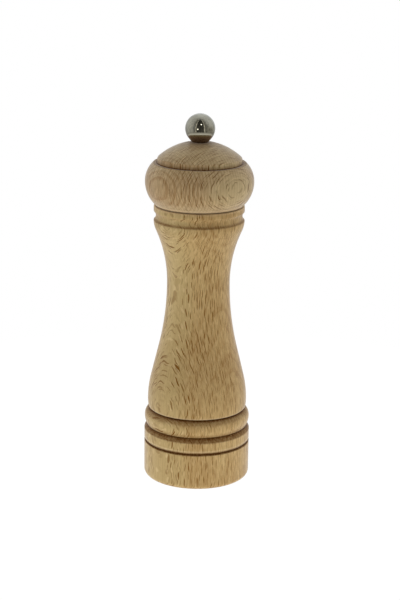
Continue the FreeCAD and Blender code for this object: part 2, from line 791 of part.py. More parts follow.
def make_base_plate():
    """Round-ended bar under the ring, with a hole that steadies the shaft's pivot."""
    body = new_body("base_plate")
    straight = "bar_length / 2 - bar_round"
    bar = add_outline(new_sketch(body, "bar_outline", "bar_level"), [
        Step(straight, "-bar_round"),
        Step("bar_length / 2", "0", level="0"),
        Step(straight, "bar_round", level="0"),
        Step(f"-({straight})", "bar_round"),
        Step("-bar_length / 2", "0", level="0"),
        Step(f"-({straight})", "-bar_round", level="0"),
    ])
    pad(body, "bar", bar, "bar_thickness")
    bore(body, "pivot_hole", "bar_level", "bar_thickness", "pivot_diameter + 2 * pivot_clearance")
    hole = bore(body, "screw_hole", "bar_level", "bar_thickness", "bar_screw_hole", x="bar_screw_spread / 2")
    repeat(body, "screw_holes", [hole], "2")
    return body


def make_base_plate_screws():
    """Two round-headed screws under the bar."""
    low = "bar_level - bar_screw_head_height"
    dome = "(bar_screw_head^2 / 4 + bar_screw_head_height^2) / (2 * bar_screw_head_height)"
    head = Step("bar_screw_spread / 2 + bar_screw_head / 2", "bar_level", radius=dome)
    return make_screws("base_plate_screws", "bar_screw_spread", low, "bar_level", "bar_screw_shank",
                       "bar_screw_length + bar_screw_head_height", [head])


def check_document():
    """Stop if any object failed, or if a cut took nothing away."""
    for item in doc.Objects:
        if "Invalid" in item.State or "Error" in item.State:
            raise RuntimeError(f"{item.Label} failed: {item.State}")
        cuts = ("PartDesign::Pocket", "PartDesign::Groove", "PartDesign::SubtractiveLoft")
        if item.TypeId in cuts and item.Shape.Volume >= item.BaseFeature.Shape.Volume:
            raise RuntimeError(f"{item.Label} cuts nothing")


def check_piece(piece):
    """Stop if a sub-part has no sound solid."""
    shape = piece.Shape
    if shape.isNull() or not shape.isValid() or not shape.Solids:
        raise RuntimeError(f"{piece.Label} has no valid solid")


PIECES = [
    make_mill_body(),
    make_head(),
    make_knob_nut(),
    make_shaft(),
    make_drive_plate(),
    make_drive_plate_screws(),
    make_grinding_ring(),
    make_grinding_cone(),
    make_cone_washer(),
    make_cone_nut(),
    make_spring(),
    make_spring_washer(),
    make_ring_bridge(),
    make_base_plate(),
    make_base_plate_screws(),
]
doc.recompute()
check_document()
for piece in PIECES:
    check_piece(piece)
os.makedirs("parts", exist_ok=True)
for piece in PIECES:
    piece.Shape.exportStep(f"parts/{piece.Label}.step")
    print(f"{piece.Label}: {len(piece.Shape.Solids)} solid, {piece.Shape.Volume:.1f} mm3")
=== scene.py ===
"""Dresses the pepper mill: turned beech body and head, polished ball knob and the steel grinding set.

Lengths are in millimetres in the classes and become metres when a mesh is made.
"""
import logging
import math
from dataclasses import dataclass, field
from enum import Enum

import bpy
import numpy as np
from mathutils import Matrix, Vector


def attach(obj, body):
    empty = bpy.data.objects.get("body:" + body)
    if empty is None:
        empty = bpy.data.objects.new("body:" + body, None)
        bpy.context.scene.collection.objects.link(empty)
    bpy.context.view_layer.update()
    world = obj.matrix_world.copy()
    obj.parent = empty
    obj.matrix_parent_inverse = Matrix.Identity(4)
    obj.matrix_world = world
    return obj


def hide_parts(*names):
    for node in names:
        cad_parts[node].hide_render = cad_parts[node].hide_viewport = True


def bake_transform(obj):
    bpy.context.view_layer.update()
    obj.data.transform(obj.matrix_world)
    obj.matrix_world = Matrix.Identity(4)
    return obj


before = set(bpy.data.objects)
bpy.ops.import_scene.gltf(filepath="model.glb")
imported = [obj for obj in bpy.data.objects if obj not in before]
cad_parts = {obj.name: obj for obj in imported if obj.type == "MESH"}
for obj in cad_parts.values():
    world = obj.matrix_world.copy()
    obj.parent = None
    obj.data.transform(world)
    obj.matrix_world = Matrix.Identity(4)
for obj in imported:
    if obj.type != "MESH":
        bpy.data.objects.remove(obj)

logging.basicConfig(level=logging.INFO, format="%(name)s: %(message)s")
log = logging.getLogger("pepper_mill")

MM = 0.001
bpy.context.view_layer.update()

# How outlines are drawn and eased, in millimetres where they are lengths
ARC_POINTS = 97
SAMPLE_STEP = 0.04
BEND_WEIGHT = 1.6
DEEP_GROOVE = 0.2
PROUD_EDGE = 0.15


class Pole(Enum):
    """How a turned outline ends."""

    RING = "closed loop that never meets the axis"
    AXIS = "starts and ends on the axis"


# Outlines


class Outline:
    """Half section of a turned piece, as points of radius and height in millimetres."""

    def __init__(self, radius: float, height: float) -> None:
        """Start at one corner.

        Args:
            radius: Distance from the axis.
            height: Height above the table.
        """
        self.parts: list[np.ndarray] = [np.array([[radius, height]])]

    @property
    def end(self) -> np.ndarray:
        """Last corner that was drawn."""
        return self.parts[-1][-1]

    def line(self, radius: float, height: float) -> "Outline":
        """Draw a straight side to a corner.

        Args:
            radius: The corner's distance from the axis.
            height: The corner's height.

        Returns:
            This outline.
        """
        self.parts.append(np.array([[radius, height]]))
        return self

    def arc(self, radius: float, height: float, centre: tuple[float, float]) -> "Outline":
        """Draw a circular side the short way round: points about its centre at evenly spaced angles.

        Args:
            radius: The end corner's distance from the axis.
            height: The end corner's height.
            centre: The circle's centre.

        Returns:
            This outline.
        """
        middle = np.array(centre)
        first, last = self.end - middle, np.array([radius, height]) - middle
        start = math.atan2(first[1], first[0])
        turn = (math.atan2(last[1], last[0]) - start + math.pi) % (2 * math.pi) - math.pi
        angles = start + turn * np.linspace(0, 1, ARC_POINTS)[1:]
        reach = np.linspace(np.hypot(*first), np.hypot(*last), ARC_POINTS)[1:]
        self.parts.append(middle + reach[:, None] * np.stack([np.cos(angles), np.sin(angles)], 1))
        return self

    def arc_about_level(self, radius: float, height: float, level: float) -> "Outline":
        """Draw a circular side whose centre lies at a height, where both ends are equally far from it.

        Args:
            radius: The end corner's distance from the axis.
            height: The end corner's height.
            level: The centre's height.

        Returns:
            This outline.
        """
        r0, z0 = self.end
        gap = radius ** 2 - r0 ** 2 + (height - level) ** 2 - (z0 - level) ** 2
        return self.arc(radius, height, (gap / (2 * (radius - r0)), level))

    def arc_about_axis(self, radius: float, height: float) -> "Outline":
        """Draw a circular side whose centre lies on the axis, where both ends are equally far from it.

        Args:
            radius: The end corner's distance from the axis.
            height: The end corner's height.

        Returns:
            This outline.
        """
        r0, z0 = self.end
        level = (radius ** 2 + height ** 2 - r0 ** 2 - z0 ** 2) / (2 * (height - z0))
        return self.arc(radius, height, (0.0, level))

    def points(self) -> np.ndarray:
        """All corners and arc points in order."""
        return np.concatenate(self.parts)


@dataclass
class Section:
    """Half section after easing, with what the finish needs to know at each point.

    Attributes:
        rz: Radius and height of each row.
        cavity: 0 on open faces to 1 at the bottom of a groove, where shade is painted.
        crest: 0 on open faces to 1 where a highlight is painted, on raised edges and over whole bands.
        inside: 1 on faces that the finish doesn't reach.
        burn_and_shade: 0 on clean wood to 1 on the tool's burnt lines and where shade is painted.
    """

    rz: np.ndarray
    cavity: np.ndarray
    crest: np.ndarray
    inside: np.ndarray
    burn_and_shade: np.ndarray

    def masks(self) -> dict[str, np.ndarray]:
        """Each mask's rows, by the name that the finish reads."""
        return {"cavity": self.cavity, "crest": self.crest, "inside": self.inside, "burn_and_shade": self.burn_and_shade}


@dataclass(frozen=True)
class Band:
    """Band round a turned piece where its colour differs, for the tool's burnt lines, painted shade and
    painted highlights.

    Attributes:
        low: Height where it starts.
        high: Height where it ends.
        strength: How far the colour differs.
        soft: Height over which it fades at each end.
        within: Radius that it stays inside.
        beyond: Radius that it stays outside.
    """

    low: float
    high: float
    strength: float
    soft: float
    within: float = 100.0
    beyond: float = 0.0

    def at(self, rz: np.ndarray) -> np.ndarray:
        """Strength at each row: full between the two heights, falling to nothing over the soft ends."""
        rise = np.clip((rz[:, 1] - self.low) / self.soft + 0.5, 0, 1)
        fall = np.clip((self.high - rz[:, 1]) / self.soft + 0.5, 0, 1)
        return self.strength * rise * fall * ((rz[:, 0] < self.within) & (rz[:, 0] > self.beyond))


def bell(values: np.ndarray, spread: float, closed: bool) -> np.ndarray:
    """Average each column of values with a bell curve.

    Args:
        values: One row per point.
        spread: The curve's standard deviation, in points.
        closed: Whether the first point follows the last.

    Returns:
        The averaged values, as many as before.
    """
    reach = int(4 * spread) + 1
    weights = np.exp(-0.5 * (np.arange(-reach, reach + 1) / spread) ** 2)
    padded = np.pad(values, ((reach, reach), (0, 0)), mode="wrap" if closed else "edge")
    return np.stack([np.convolve(c, weights / weights.sum(), "valid") for c in padded.T], 1)


def total(bands: tuple[Band, ...], rz: np.ndarray) -> np.ndarray:
    """Strength of several bands together at each row."""
    return sum((band.at(rz) for band in bands), np.zeros(len(rz)))


def ease(outline: Outline, pole: Pole, rows: int, inside_from: int | None = None,
         burns_and_shade: tuple[Band, ...] = (), edge_highlights: tuple[Band, ...] = (), highlight_bands: tuple[Band, ...] = (),
         edge: float = 0.10, groove: float = 0.45) -> Section:
    """Soften an outline's edges and choose its rows.

    The outline is sampled evenly along its length and averaged with a narrow bell curve, which eases each
    edge. Its distance from a wider average, along the outward normal, tells grooves from raised edges. Rows
    are then spread evenly over length plus turning, so bends get more of them.

    Args:
        outline: The half section.
        pole: How the outline ends.
        rows: How many rows to keep.
        inside_from: The part of the outline from which faces are unfinished, or None.
        burns_and_shade: Bands of the tool's burnt lines, and bands of painted shade.
        edge_highlights: Bands whose raised edges get a painted highlight.
        highlight_bands: Bands that get a painted highlight all over.
        edge: Spread of the narrow bell curve, in millimetres.
        groove: Spread of the wide bell curve, in millimetres.

    Returns:
        The eased section.
    """
    closed = pole is Pole.RING
    corners = outline.points()
    if closed:
        corners = np.concatenate([corners, corners[:1]])
    walked = np.concatenate([[0], np.cumsum(np.hypot(*np.diff(corners, axis=0).T))])
    length = walked[-1]
    at = np.arange(0, length, SAMPLE_STEP) if closed else np.linspace(0, length, int(length / SAMPLE_STEP))
    dense = np.stack([np.interp(at, walked, corners[:, k]) for k in (0, 1)], 1)
    eased = bell(dense, edge / SAMPLE_STEP, closed)
    if not closed:
        eased[[0, -1]] = dense[[0, -1]]
    wide = bell(eased, groove / SAMPLE_STEP, closed)
    ahead = (np.roll(eased, -1, 0) - np.roll(eased, 1, 0)) if closed else np.gradient(eased, axis=0)
    along = ahead / np.maximum(np.hypot(*ahead.T), 1e-9)[:, None]
    bulge = ((eased - wide) * np.stack([along[:, 1], -along[:, 0]], 1)).sum(1)
    heading = np.unwrap(np.arctan2(along[:, 1], along[:, 0]))
    effort = np.cumsum(SAMPLE_STEP + BEND_WEIGHT * np.abs(np.gradient(heading)))
    shares = np.linspace(effort[0], effort[-1], rows, endpoint=not closed)
    chosen = np.interp(shares, effort, np.arange(len(at)))
    count = sum(len(part) for part in outline.parts[:inside_from]) - 1 if inside_from else len(corners)
    hidden = (at > walked[min(count, len(walked) - 1)]).astype(float)
    columns = np.stack([eased[:, 0], eased[:, 1], bulge, hidden], 1)
    kept = np.stack([np.interp(chosen, np.arange(len(at)), c) for c in columns.T], 1)
    rz, bulge, inside = kept[:, :2], kept[:, 2], kept[:, 3]
    # Painted highlights: raised edges within some bands, and whole bands.
    crest = np.clip(bulge / PROUD_EDGE, 0, 1) * total(edge_highlights, rz) + total(highlight_bands, rz)
    # The tool's burnt lines and painted shade, on finished faces only.
    burn_and_shade = np.clip(total(burns_and_shade, rz) * (inside < 0.5), 0, 1)
    return Section(rz, np.clip(-bulge / DEEP_GROOVE, 0, 1), crest, inside, burn_and_shade)


# Meshes


def grid_faces(rows: int, columns: int, closed_rows: bool) -> np.ndarray:
    """Quads of a grid whose columns close into a ring.

    Args:
        rows: Number of rows.
        columns: Number of columns.
        closed_rows: Whether the last row joins the first.

    Returns:
        Four vertex numbers per quad, facing away from the axis where rows climb.
    """
    i = np.arange(rows if closed_rows else rows - 1)[:, None]
    j = np.arange(columns)[None, :]
    here, above = i * columns, (i + 1) % rows * columns
    beside = (j + 1) % columns
    return np.stack([here + j, here + beside, above + beside, above + j], -1).reshape(-1, 4)


def close_ends(rows: int, columns: int) -> np.ndarray:
    """Triangles from a grid's first and last rows to two points that come after the grid's own.

    Args:
        rows: Number of rows.
        columns: Number of columns.

    Returns:
        Three vertex numbers per triangle, facing away from the grid.
    """
    j = np.arange(columns)
    beside = (j + 1) % columns
    last = (rows - 1) * columns
    low = np.full_like(j, rows * columns)
    return np.concatenate([np.stack([low, beside, j], 1), np.stack([low + 1, last + j, last + beside], 1)])


def make_piece(name: str, corners: np.ndarray, quads: np.ndarray, triangles: np.ndarray | None = None,
               values: dict[str, np.ndarray] | None = None) -> bpy.types.Object:
    """Put arrays into a smooth mesh at the origin.

    Args:
        name: The piece's name.
        corners: One row of millimetres per vertex.
        quads: Four vertex numbers per face.
        triangles: Three vertex numbers per face, if there are any.
        values: Numbers per vertex that the finish reads, by name.

    Returns:
        The new object.
    """
    mesh = bpy.data.meshes.new(name)
    faces = [quads] if triangles is None else [quads, triangles]
    sides = np.concatenate([np.full(len(f), f.shape[1]) for f in faces])
    loops = np.concatenate([f.ravel() for f in faces]).astype(np.int32)
    mesh.vertices.add(len(corners))
    mesh.vertices.foreach_set("co", (corners * MM).astype(np.float32).ravel())
    mesh.loops.add(len(loops))
    mesh.loops.foreach_set("vertex_index", loops)
    mesh.polygons.add(len(sides))
    mesh.polygons.foreach_set("loop_start", (np.cumsum(sides) - sides).astype(np.int32))
    mesh.polygons.foreach_set("use_smooth", np.ones(len(sides), bool))
    for label, numbers in (values or {}).items():
        attribute = mesh.attributes.new(label, "FLOAT", "POINT")
        attribute.data.foreach_set("value", numbers.astype(np.float32).ravel())
    mesh.update(calc_edges=True)
    mesh.validate()
    piece = bpy.data.objects.new(name, mesh)
    bpy.context.scene.collection.objects.link(piece)
    log.info("%s: %d faces", name, len(sides))
    return piece


def turn_piece(name: str, section: Section, pole: Pole, angles: np.ndarray,
               widen: np.ndarray | None = None) -> bpy.types.Object:
    """Turn a half section about the axis: each row's radius times the cosine and sine of each angle.

    Args:
        name: The piece's name.
        section: The eased half section.
        pole: How the outline ends.
        angles: The columns' angles, in radians.
        widen: Radius per row and column, where the piece isn't quite round.

    Returns:
        The new object.
    """
    radius = section.rz[:, :1] * np.ones_like(angles) if widen is None else widen
    height = section.rz[:, 1:] * np.ones_like(angles)
    grid = np.stack([radius * np.cos(angles), radius * np.sin(angles), height], -1)
    rows, columns = radius.shape
    masks = np.stack(list(section.masks().values()), 1)
    if pole is Pole.RING:
        corners, triangles = grid.reshape(-1, 3), None
        quads = grid_faces(rows, columns, True)
        masks = np.repeat(masks, columns, 0)
    else:
        ends = np.array([[0, 0, section.rz[0, 1]], [0, 0, section.rz[-1, 1]]])
        corners = np.concatenate([grid[1:-1].reshape(-1, 3), ends])
        quads, triangles = grid_faces(rows - 2, columns, False), close_ends(rows - 2, columns)
        masks = np.concatenate([np.repeat(masks[1:-1], columns, 0), masks[[0, -1]]])
    return make_piece(name, corners, quads, triangles, dict(zip(section.masks(), masks.T)))


# Shader groups


class Nodes:
    """Shorthand for wiring one node tree."""

    def __init__(self, tree: bpy.types.NodeTree) -> None:
        """Keep the tree that nodes are added to."""
        self.tree = tree

    def add(self, kind: str, inputs: dict | None = None, **settings: object) -> bpy.types.Node:
        """Add a node, set it up and feed its inputs.

        Args:
            kind: The node's type.
            inputs: Sockets to link or plain values to set, by input name or number.
            settings: The node's own settings.

        Returns:
            The new node.
        """
        node = self.tree.nodes.new(kind)
        for key, setting in settings.items():
            setattr(node, key, setting)
        self.feed(node.inputs, inputs or {})
        return node

    def feed(self, sockets: bpy.types.NodeInputs, feeds: dict) -> None:
        """Link sockets to inputs or set plain values on them.

        Args:
            sockets: The inputs.
            feeds: What each one gets, by its name or number.
        """
        for key, feed in feeds.items():
            if isinstance(feed, bpy.types.NodeSocket):
                self.tree.links.new(feed, sockets[key])
            else:
                sockets[key].default_value = feed

    def group(self, name: str, inputs: dict) -> bpy.types.Node:
        """Place a shader group and feed its inputs."""
        return self.add("ShaderNodeGroup", inputs, node_tree=bpy.data.node_groups[name])

    def math(self, operation: str, *feeds: object) -> bpy.types.NodeSocket:
        """Work out one number from others."""
        return self.add("ShaderNodeMath", dict(enumerate(feeds)), operation=operation).outputs[0]

    def vector(self, operation: str, *feeds: object) -> bpy.types.NodeSocket:
        """Work out one vector from others."""
        return self.add("ShaderNodeVectorMath", dict(enumerate(feeds)), operation=operation).outputs[0]

    def measure(self, operation: str, *feeds: object) -> bpy.types.NodeSocket:
        """Work out one number from vectors."""
        node = self.add("ShaderNodeVectorMath", dict(enumerate(feeds)), operation=operation)
        return node.outputs["Value"]

    def parts(self, vector: bpy.types.NodeSocket) -> bpy.types.NodeOutputs:
        """Take a vector apart."""
        return self.add("ShaderNodeSeparateXYZ", {0: vector}).outputs

    def millimetres(self, place: bpy.types.NodeSocket) -> bpy.types.NodeSocket:
        """Turn a place in metres into millimetres."""
        return self.vector("MULTIPLY", place, (1000, 1000, 1000))

    def clamp(self, feed: bpy.types.NodeSocket) -> bpy.types.NodeSocket:
        """Keep a number between 0 and 1."""
        return self.math("MINIMUM", self.math("MAXIMUM", feed, 0.0), 1.0)

    def spread(self, feed: object, low: float, high: float, to_low: float = 0.0,
               to_high: float = 1.0) -> bpy.types.NodeSocket:
        """Map a number smoothly from one range to another.

        Args:
            feed: The number's socket.
            low: Start of the range that it comes from.
            high: End of that range.
            to_low: What the start becomes.
            to_high: What the end becomes.

        Returns:
            The mapped number's socket.
        """
        feeds = {"Value": feed, "From Min": low, "From Max": high, "To Min": to_low, "To Max": to_high}
        return self.add("ShaderNodeMapRange", feeds, interpolation_type="SMOOTHSTEP").outputs["Result"]

    def mix(self, share: object, first: object, second: object) -> bpy.types.NodeSocket:
        """Blend two colours.

        Args:
            share: How much of the second colour to take.
            first: The colour underneath.
            second: The colour on top.

        Returns:
            The blended colour's socket.
        """
        return self.add("ShaderNodeMix", {0: share, 6: first, 7: second}, data_type="RGBA").outputs[2]

    def noise(self, vector: bpy.types.NodeSocket, scale: object, detail: float = 2.0) -> bpy.types.NodeSocket:
        """Noise with its own scale along each axis, in waves per millimetre.

        Args:
            vector: Place in millimetres.
            scale: Waves per millimetre along each axis, or a socket of them.
            detail: How many finer layers it has.

        Returns:
            The noise value's socket, from 0 to 1.
        """
        place = self.vector("MULTIPLY", vector, scale)
        feeds = {"Vector": place, "Scale": 1.0, "Detail": detail}
        return self.add("ShaderNodeTexNoise", feeds).outputs[0]


NUMBER, COLOUR, VECTOR = "NodeSocketFloat", "NodeSocketColor", "NodeSocketVector"

# Beech: the rings' spacing, and the spacing and half size of its marks along u, v and z, in millimetres
RING_SPACING = 1.8
BROAD_FLECKS = ((9.5, 1.16, 7.2), (4.5, 0.17, 3.4))
SMALL_FLECKS = ((6.6, 0.71, 4.8), (3.1, 0.115, 2.3))
PALE_STROKES = ((8.0, 1.0, 4.6), (3.8, 0.2, 2.1))


def new_group(name: str, inputs: dict[str, tuple[str, ...]], outputs: dict[str, tuple[str, ...]],
              presets: dict[str, tuple[float, ...]]) -> tuple:
    """Start a shader group with named sockets.

    Args:
        name: The group's name.
        inputs: Names of the inputs, by socket type.
        outputs: Names of the outputs, by socket type.
        presets: Values of inputs that the materials leave alone, by name.

    Returns:
        The group's wiring, its input sockets and its output sockets.
    """
    group = bpy.data.node_groups.new(name, "ShaderNodeTree")
    for kind, labels in inputs.items():
        for label in labels:
            socket = group.interface.new_socket(label, in_out="INPUT", socket_type=kind)
            if label in presets:
                socket.default_value = presets[label]
    for kind, labels in outputs.items():
        for label in labels:
            group.interface.new_socket(label, in_out="OUTPUT", socket_type=kind)
    nodes = Nodes(group)
    return nodes, nodes.add("NodeGroupInput").outputs, nodes.add("NodeGroupOutput").inputs


def beech_group() -> None:
    """Beech as a solid: growth rings, ray flecks and pale strokes across them, upright fibres and pores.

    Across the log, u runs along a ring's normal and v along a ray sheet's normal. A ring is a step of u,
    bowed and swayed by noise. A fleck is a lens about each point of a scattered lattice: long in u, thin in
    v, a few millimetres in z, and rippled. Faces along the rays or across the fibres have colours of their
    own.
    """
    nodes, given, out = new_group("beech_grain", {
        VECTOR: ("Place", "Normal", "Cut"),
        NUMBER: ("Turn", "Fleck Strength", "Ring Strength", "Ray Share"),
        COLOUR: ("Pale", "Deep", "Fleck", "Ray Face", "End Grain", "Shine"),
    }, {COLOUR: ("Color",), NUMBER: ("Roughness", "Height")}, {"Shine": (0.9, 0.68, 0.36, 1)})

    def turned(vector: bpy.types.NodeSocket) -> bpy.types.NodeSocket:
        """Turn a vector about the height, from the piece to the log."""
        feeds = {"Vector": vector, "Angle": given["Turn"]}
        return nodes.add("ShaderNodeVectorRotate", feeds, rotation_type="Z_AXIS").outputs[0]

    place = turned(nodes.millimetres(given["Place"]))
    across = nodes.vector("ADD", place, given["Cut"])
    waver = nodes.math("SUBTRACT", nodes.noise(across, (0.03, 0.03, 0.012)), 0.5)
    axes = nodes.parts(place)
    bow = nodes.math("MULTIPLY", nodes.math("MULTIPLY", axes[1], axes[1]), 0.006)
    depth = nodes.math("ADD", nodes.math("ADD", axes[0], bow), nodes.math("MULTIPLY", waver, 9.0))
    year = nodes.math("FRACT", nodes.math("DIVIDE", depth, RING_SPACING))
    late = nodes.math("MULTIPLY", nodes.spread(year, 0.45, 0.88), nodes.spread(year, 0.93, 1.0, 1.0, 0.0))
    ripple = nodes.math("SUBTRACT", nodes.noise(across, (0.2, 0.2, 0.12), 1), 0.5)
    bend = nodes.math("ADD", nodes.math("MULTIPLY", waver, 2.5), ripple)
    bent = nodes.vector("ADD", across, nodes.add("ShaderNodeCombineXYZ", {1: bend}).outputs[0])

    def flecks(cell: tuple[float, float, float], half: tuple[float, float, float]) -> bpy.types.NodeSocket:
        """Lens shapes about scattered points.

        Args:
            cell: Spacing of the points along u, v and z, in millimetres.
            half: Half size of a lens along u, v and z, in millimetres.

        Returns:
            A mask's socket, 1 in the middle of a fleck.
        """
        spot = nodes.vector("DIVIDE", bent, cell)
        scattered = nodes.add("ShaderNodeTexVoronoi", {"Vector": spot, "Scale": 1.0}, feature="F1").outputs
        away = nodes.vector("SUBTRACT", spot, scattered["Position"])
        reach = nodes.measure("LENGTH", nodes.vector("MULTIPLY", away, tuple(np.divide(cell, half))))
        chance = nodes.add("ShaderNodeSeparateColor", {0: scattered["Color"]}).outputs[0]
        lens = nodes.spread(reach, 0.75, 1.0, 1.0, 0.0)
        return nodes.math("MULTIPLY", lens, nodes.spread(chance, 0.0, 0.7, 0.3))

    sides = nodes.parts(turned(given["Normal"]))
    facing, upright = nodes.math("ABSOLUTE", sides[1]), nodes.math("ABSOLUTE", sides[2])
    fleck = nodes.math("MAXIMUM", flecks(*BROAD_FLECKS), nodes.math("MULTIPLY", flecks(*SMALL_FLECKS), 0.8))
    fleck = nodes.math("MULTIPLY", fleck, nodes.spread(facing, 0.93, 0.997, 1.0, 0.5))
    fibre = nodes.noise(across, (1.1, 1.1, 0.035), 3)
    thread = nodes.noise(across, (4.5, 4.5, 0.22))
    pores = nodes.spread(nodes.noise(across, (6.0, 6.0, 0.5), 0), 0.66, 0.78)
    tone = nodes.noise(across, (0.055, 0.055, 0.018), 3)
    dark = nodes.math("MULTIPLY", late, given["Ring Strength"])
    for shade in (nodes.spread(tone, 0.3, 0.7, 0.0, 0.45), nodes.spread(fibre, 0.25, 0.75, -0.34, 0.34),
                  nodes.spread(thread, 0.25, 0.75, -0.15, 0.15)):
        dark = nodes.math("ADD", dark, shade)
    flat = nodes.math("MULTIPLY", nodes.spread(facing, 0.70, 1.0), given["Ray Share"])
    wood = nodes.mix(nodes.clamp(dark), given["Pale"], given["Deep"])
    wood = nodes.mix(flat, wood, given["Ray Face"])
    wood = nodes.mix(nodes.spread(upright, 0.35, 0.95, 0.0, 0.5), wood, given["End Grain"])
    wood = nodes.mix(nodes.math("MULTIPLY", flecks(*PALE_STROKES), 0.38), wood, given["Shine"])
    wood = nodes.mix(nodes.math("MULTIPLY", fleck, given["Fleck Strength"]), wood, given["Fleck"])
    wood = nodes.mix(nodes.math("MULTIPLY", pores, 0.22), wood, given["Fleck"])
    smoothed = nodes.math("MULTIPLY", fleck, -0.06)
    nodes.feed(out, {
        "Color": wood,
        "Roughness": nodes.math("ADD", nodes.spread(thread, 0.2, 0.8, 0.40, 0.50), smoothed),
        "Height": nodes.math("SUBTRACT", nodes.math("MULTIPLY", thread, 0.5), pores),
    })


def edge_group() -> None:
    """Paints highlights and shade, lays raw wood on unfinished faces and browns the tool's burnt lines."""
    nodes, given, out = new_group("turned_edges", {
        VECTOR: ("Place",),
        NUMBER: ("Cavity", "Crest", "Inside", "Burn_And_Shade", "Groove Shade Strength"),
        COLOUR: ("Color", "Groove Shade", "Brown And Shade", "Highlight", "Raw"),
    }, {COLOUR: ("Color",), NUMBER: ("Dullness",)}, {
        # Colours of the painted groove shade, of the burnt lines with painted shade, of painted highlights
        # and of raw wood.
        "Groove Shade": (0.07, 0.022, 0.002, 1), "Brown And Shade": (0.135, 0.042, 0.003, 1),
        "Highlight": (0.92, 0.72, 0.44, 1), "Raw": (0.55, 0.4, 0.24, 1),
    })
    noise = nodes.noise(nodes.millimetres(given["Place"]), (0.9, 0.9, 0.5), 3)
    # The tool's burnt lines and painted shade, in one colour broken up by noise.
    browning_and_shade = nodes.math("MULTIPLY", given["Burn_And_Shade"], nodes.spread(noise, 0.3, 0.65, 0.65, 1.0))
    # Painted shade at the bottoms of grooves.
    groove_shade = nodes.math("MULTIPLY", nodes.spread(given["Cavity"], 0.08, 0.6), given["Groove Shade Strength"])
    # Painted highlights on raised edges and over whole bands.
    wood = nodes.mix(nodes.math("MULTIPLY", given["Crest"], 0.8), given["Color"], given["Highlight"])
    wood = nodes.mix(nodes.math("MULTIPLY", given["Inside"], 0.6), wood, given["Raw"])
    wood = nodes.mix(browning_and_shade, wood, given["Brown And Shade"])
    dulled = nodes.math("MULTIPLY", nodes.math("MAXIMUM", groove_shade, given["Burn_And_Shade"]), 0.35)
    nodes.feed(out, {
        "Color": nodes.mix(groove_shade, wood, given["Groove Shade"]),
        "Dullness": nodes.math("ADD", nodes.math("MULTIPLY", given["Inside"], 0.28), dulled),
    })


def steel_group() -> None:
    """Bare steel: fine lines left by the tool, cloudy handling marks, specks and bands of painted shade."""
    nodes, given, out = new_group("worked_steel", {
        VECTOR: ("Place", "Line Scale"),
        NUMBER: ("Roughness", "Line Strength", "Reflected Shade Share"),
        COLOUR: ("Light", "Dark", "Reflected Shade"),
    }, {COLOUR: ("Color",), NUMBER: ("Roughness", "Height")}, {"Reflected Shade": (0.27, 0.195, 0.19, 1)})
    place = nodes.millimetres(given["Place"])
    lines = nodes.noise(place, given["Line Scale"])
    cloud = nodes.noise(place, (0.22, 0.22, 0.22), 4)
    speck = nodes.spread(nodes.noise(place, (2.2, 2.2, 2.2), 1), 0.66, 0.76)
    scored = nodes.math("MULTIPLY", nodes.math("SUBTRACT", lines, 0.5), given["Line Strength"])
    share = nodes.math("ADD", scored, nodes.spread(cloud, 0.3, 0.75, 0.0, 0.55))
    share = nodes.math("ADD", share, nodes.math("MULTIPLY", speck, 0.18))
    metal = nodes.mix(nodes.clamp(share), given["Light"], given["Dark"])
    nodes.feed(out, {
        # Painted shade where the bands ask for it.
        "Color": nodes.mix(given["Reflected Shade Share"], metal, given["Reflected Shade"]),
        "Roughness": nodes.math("ADD", given["Roughness"], nodes.math("MULTIPLY", share, 0.14)),
        "Height": nodes.math("MULTIPLY", lines, given["Line Strength"]),
    })


# Finishes


def new_material(name: str) -> tuple[bpy.types.Material, Nodes, bpy.types.Node]:
    """Start a material with a Principled shader.

    Args:
        name: The material's name.

    Returns:
        The material, its wiring and its shader.
    """
    made = bpy.data.materials.new(name)
    made.use_nodes = True
    return made, Nodes(made.node_tree), made.node_tree.nodes["Principled BSDF"]


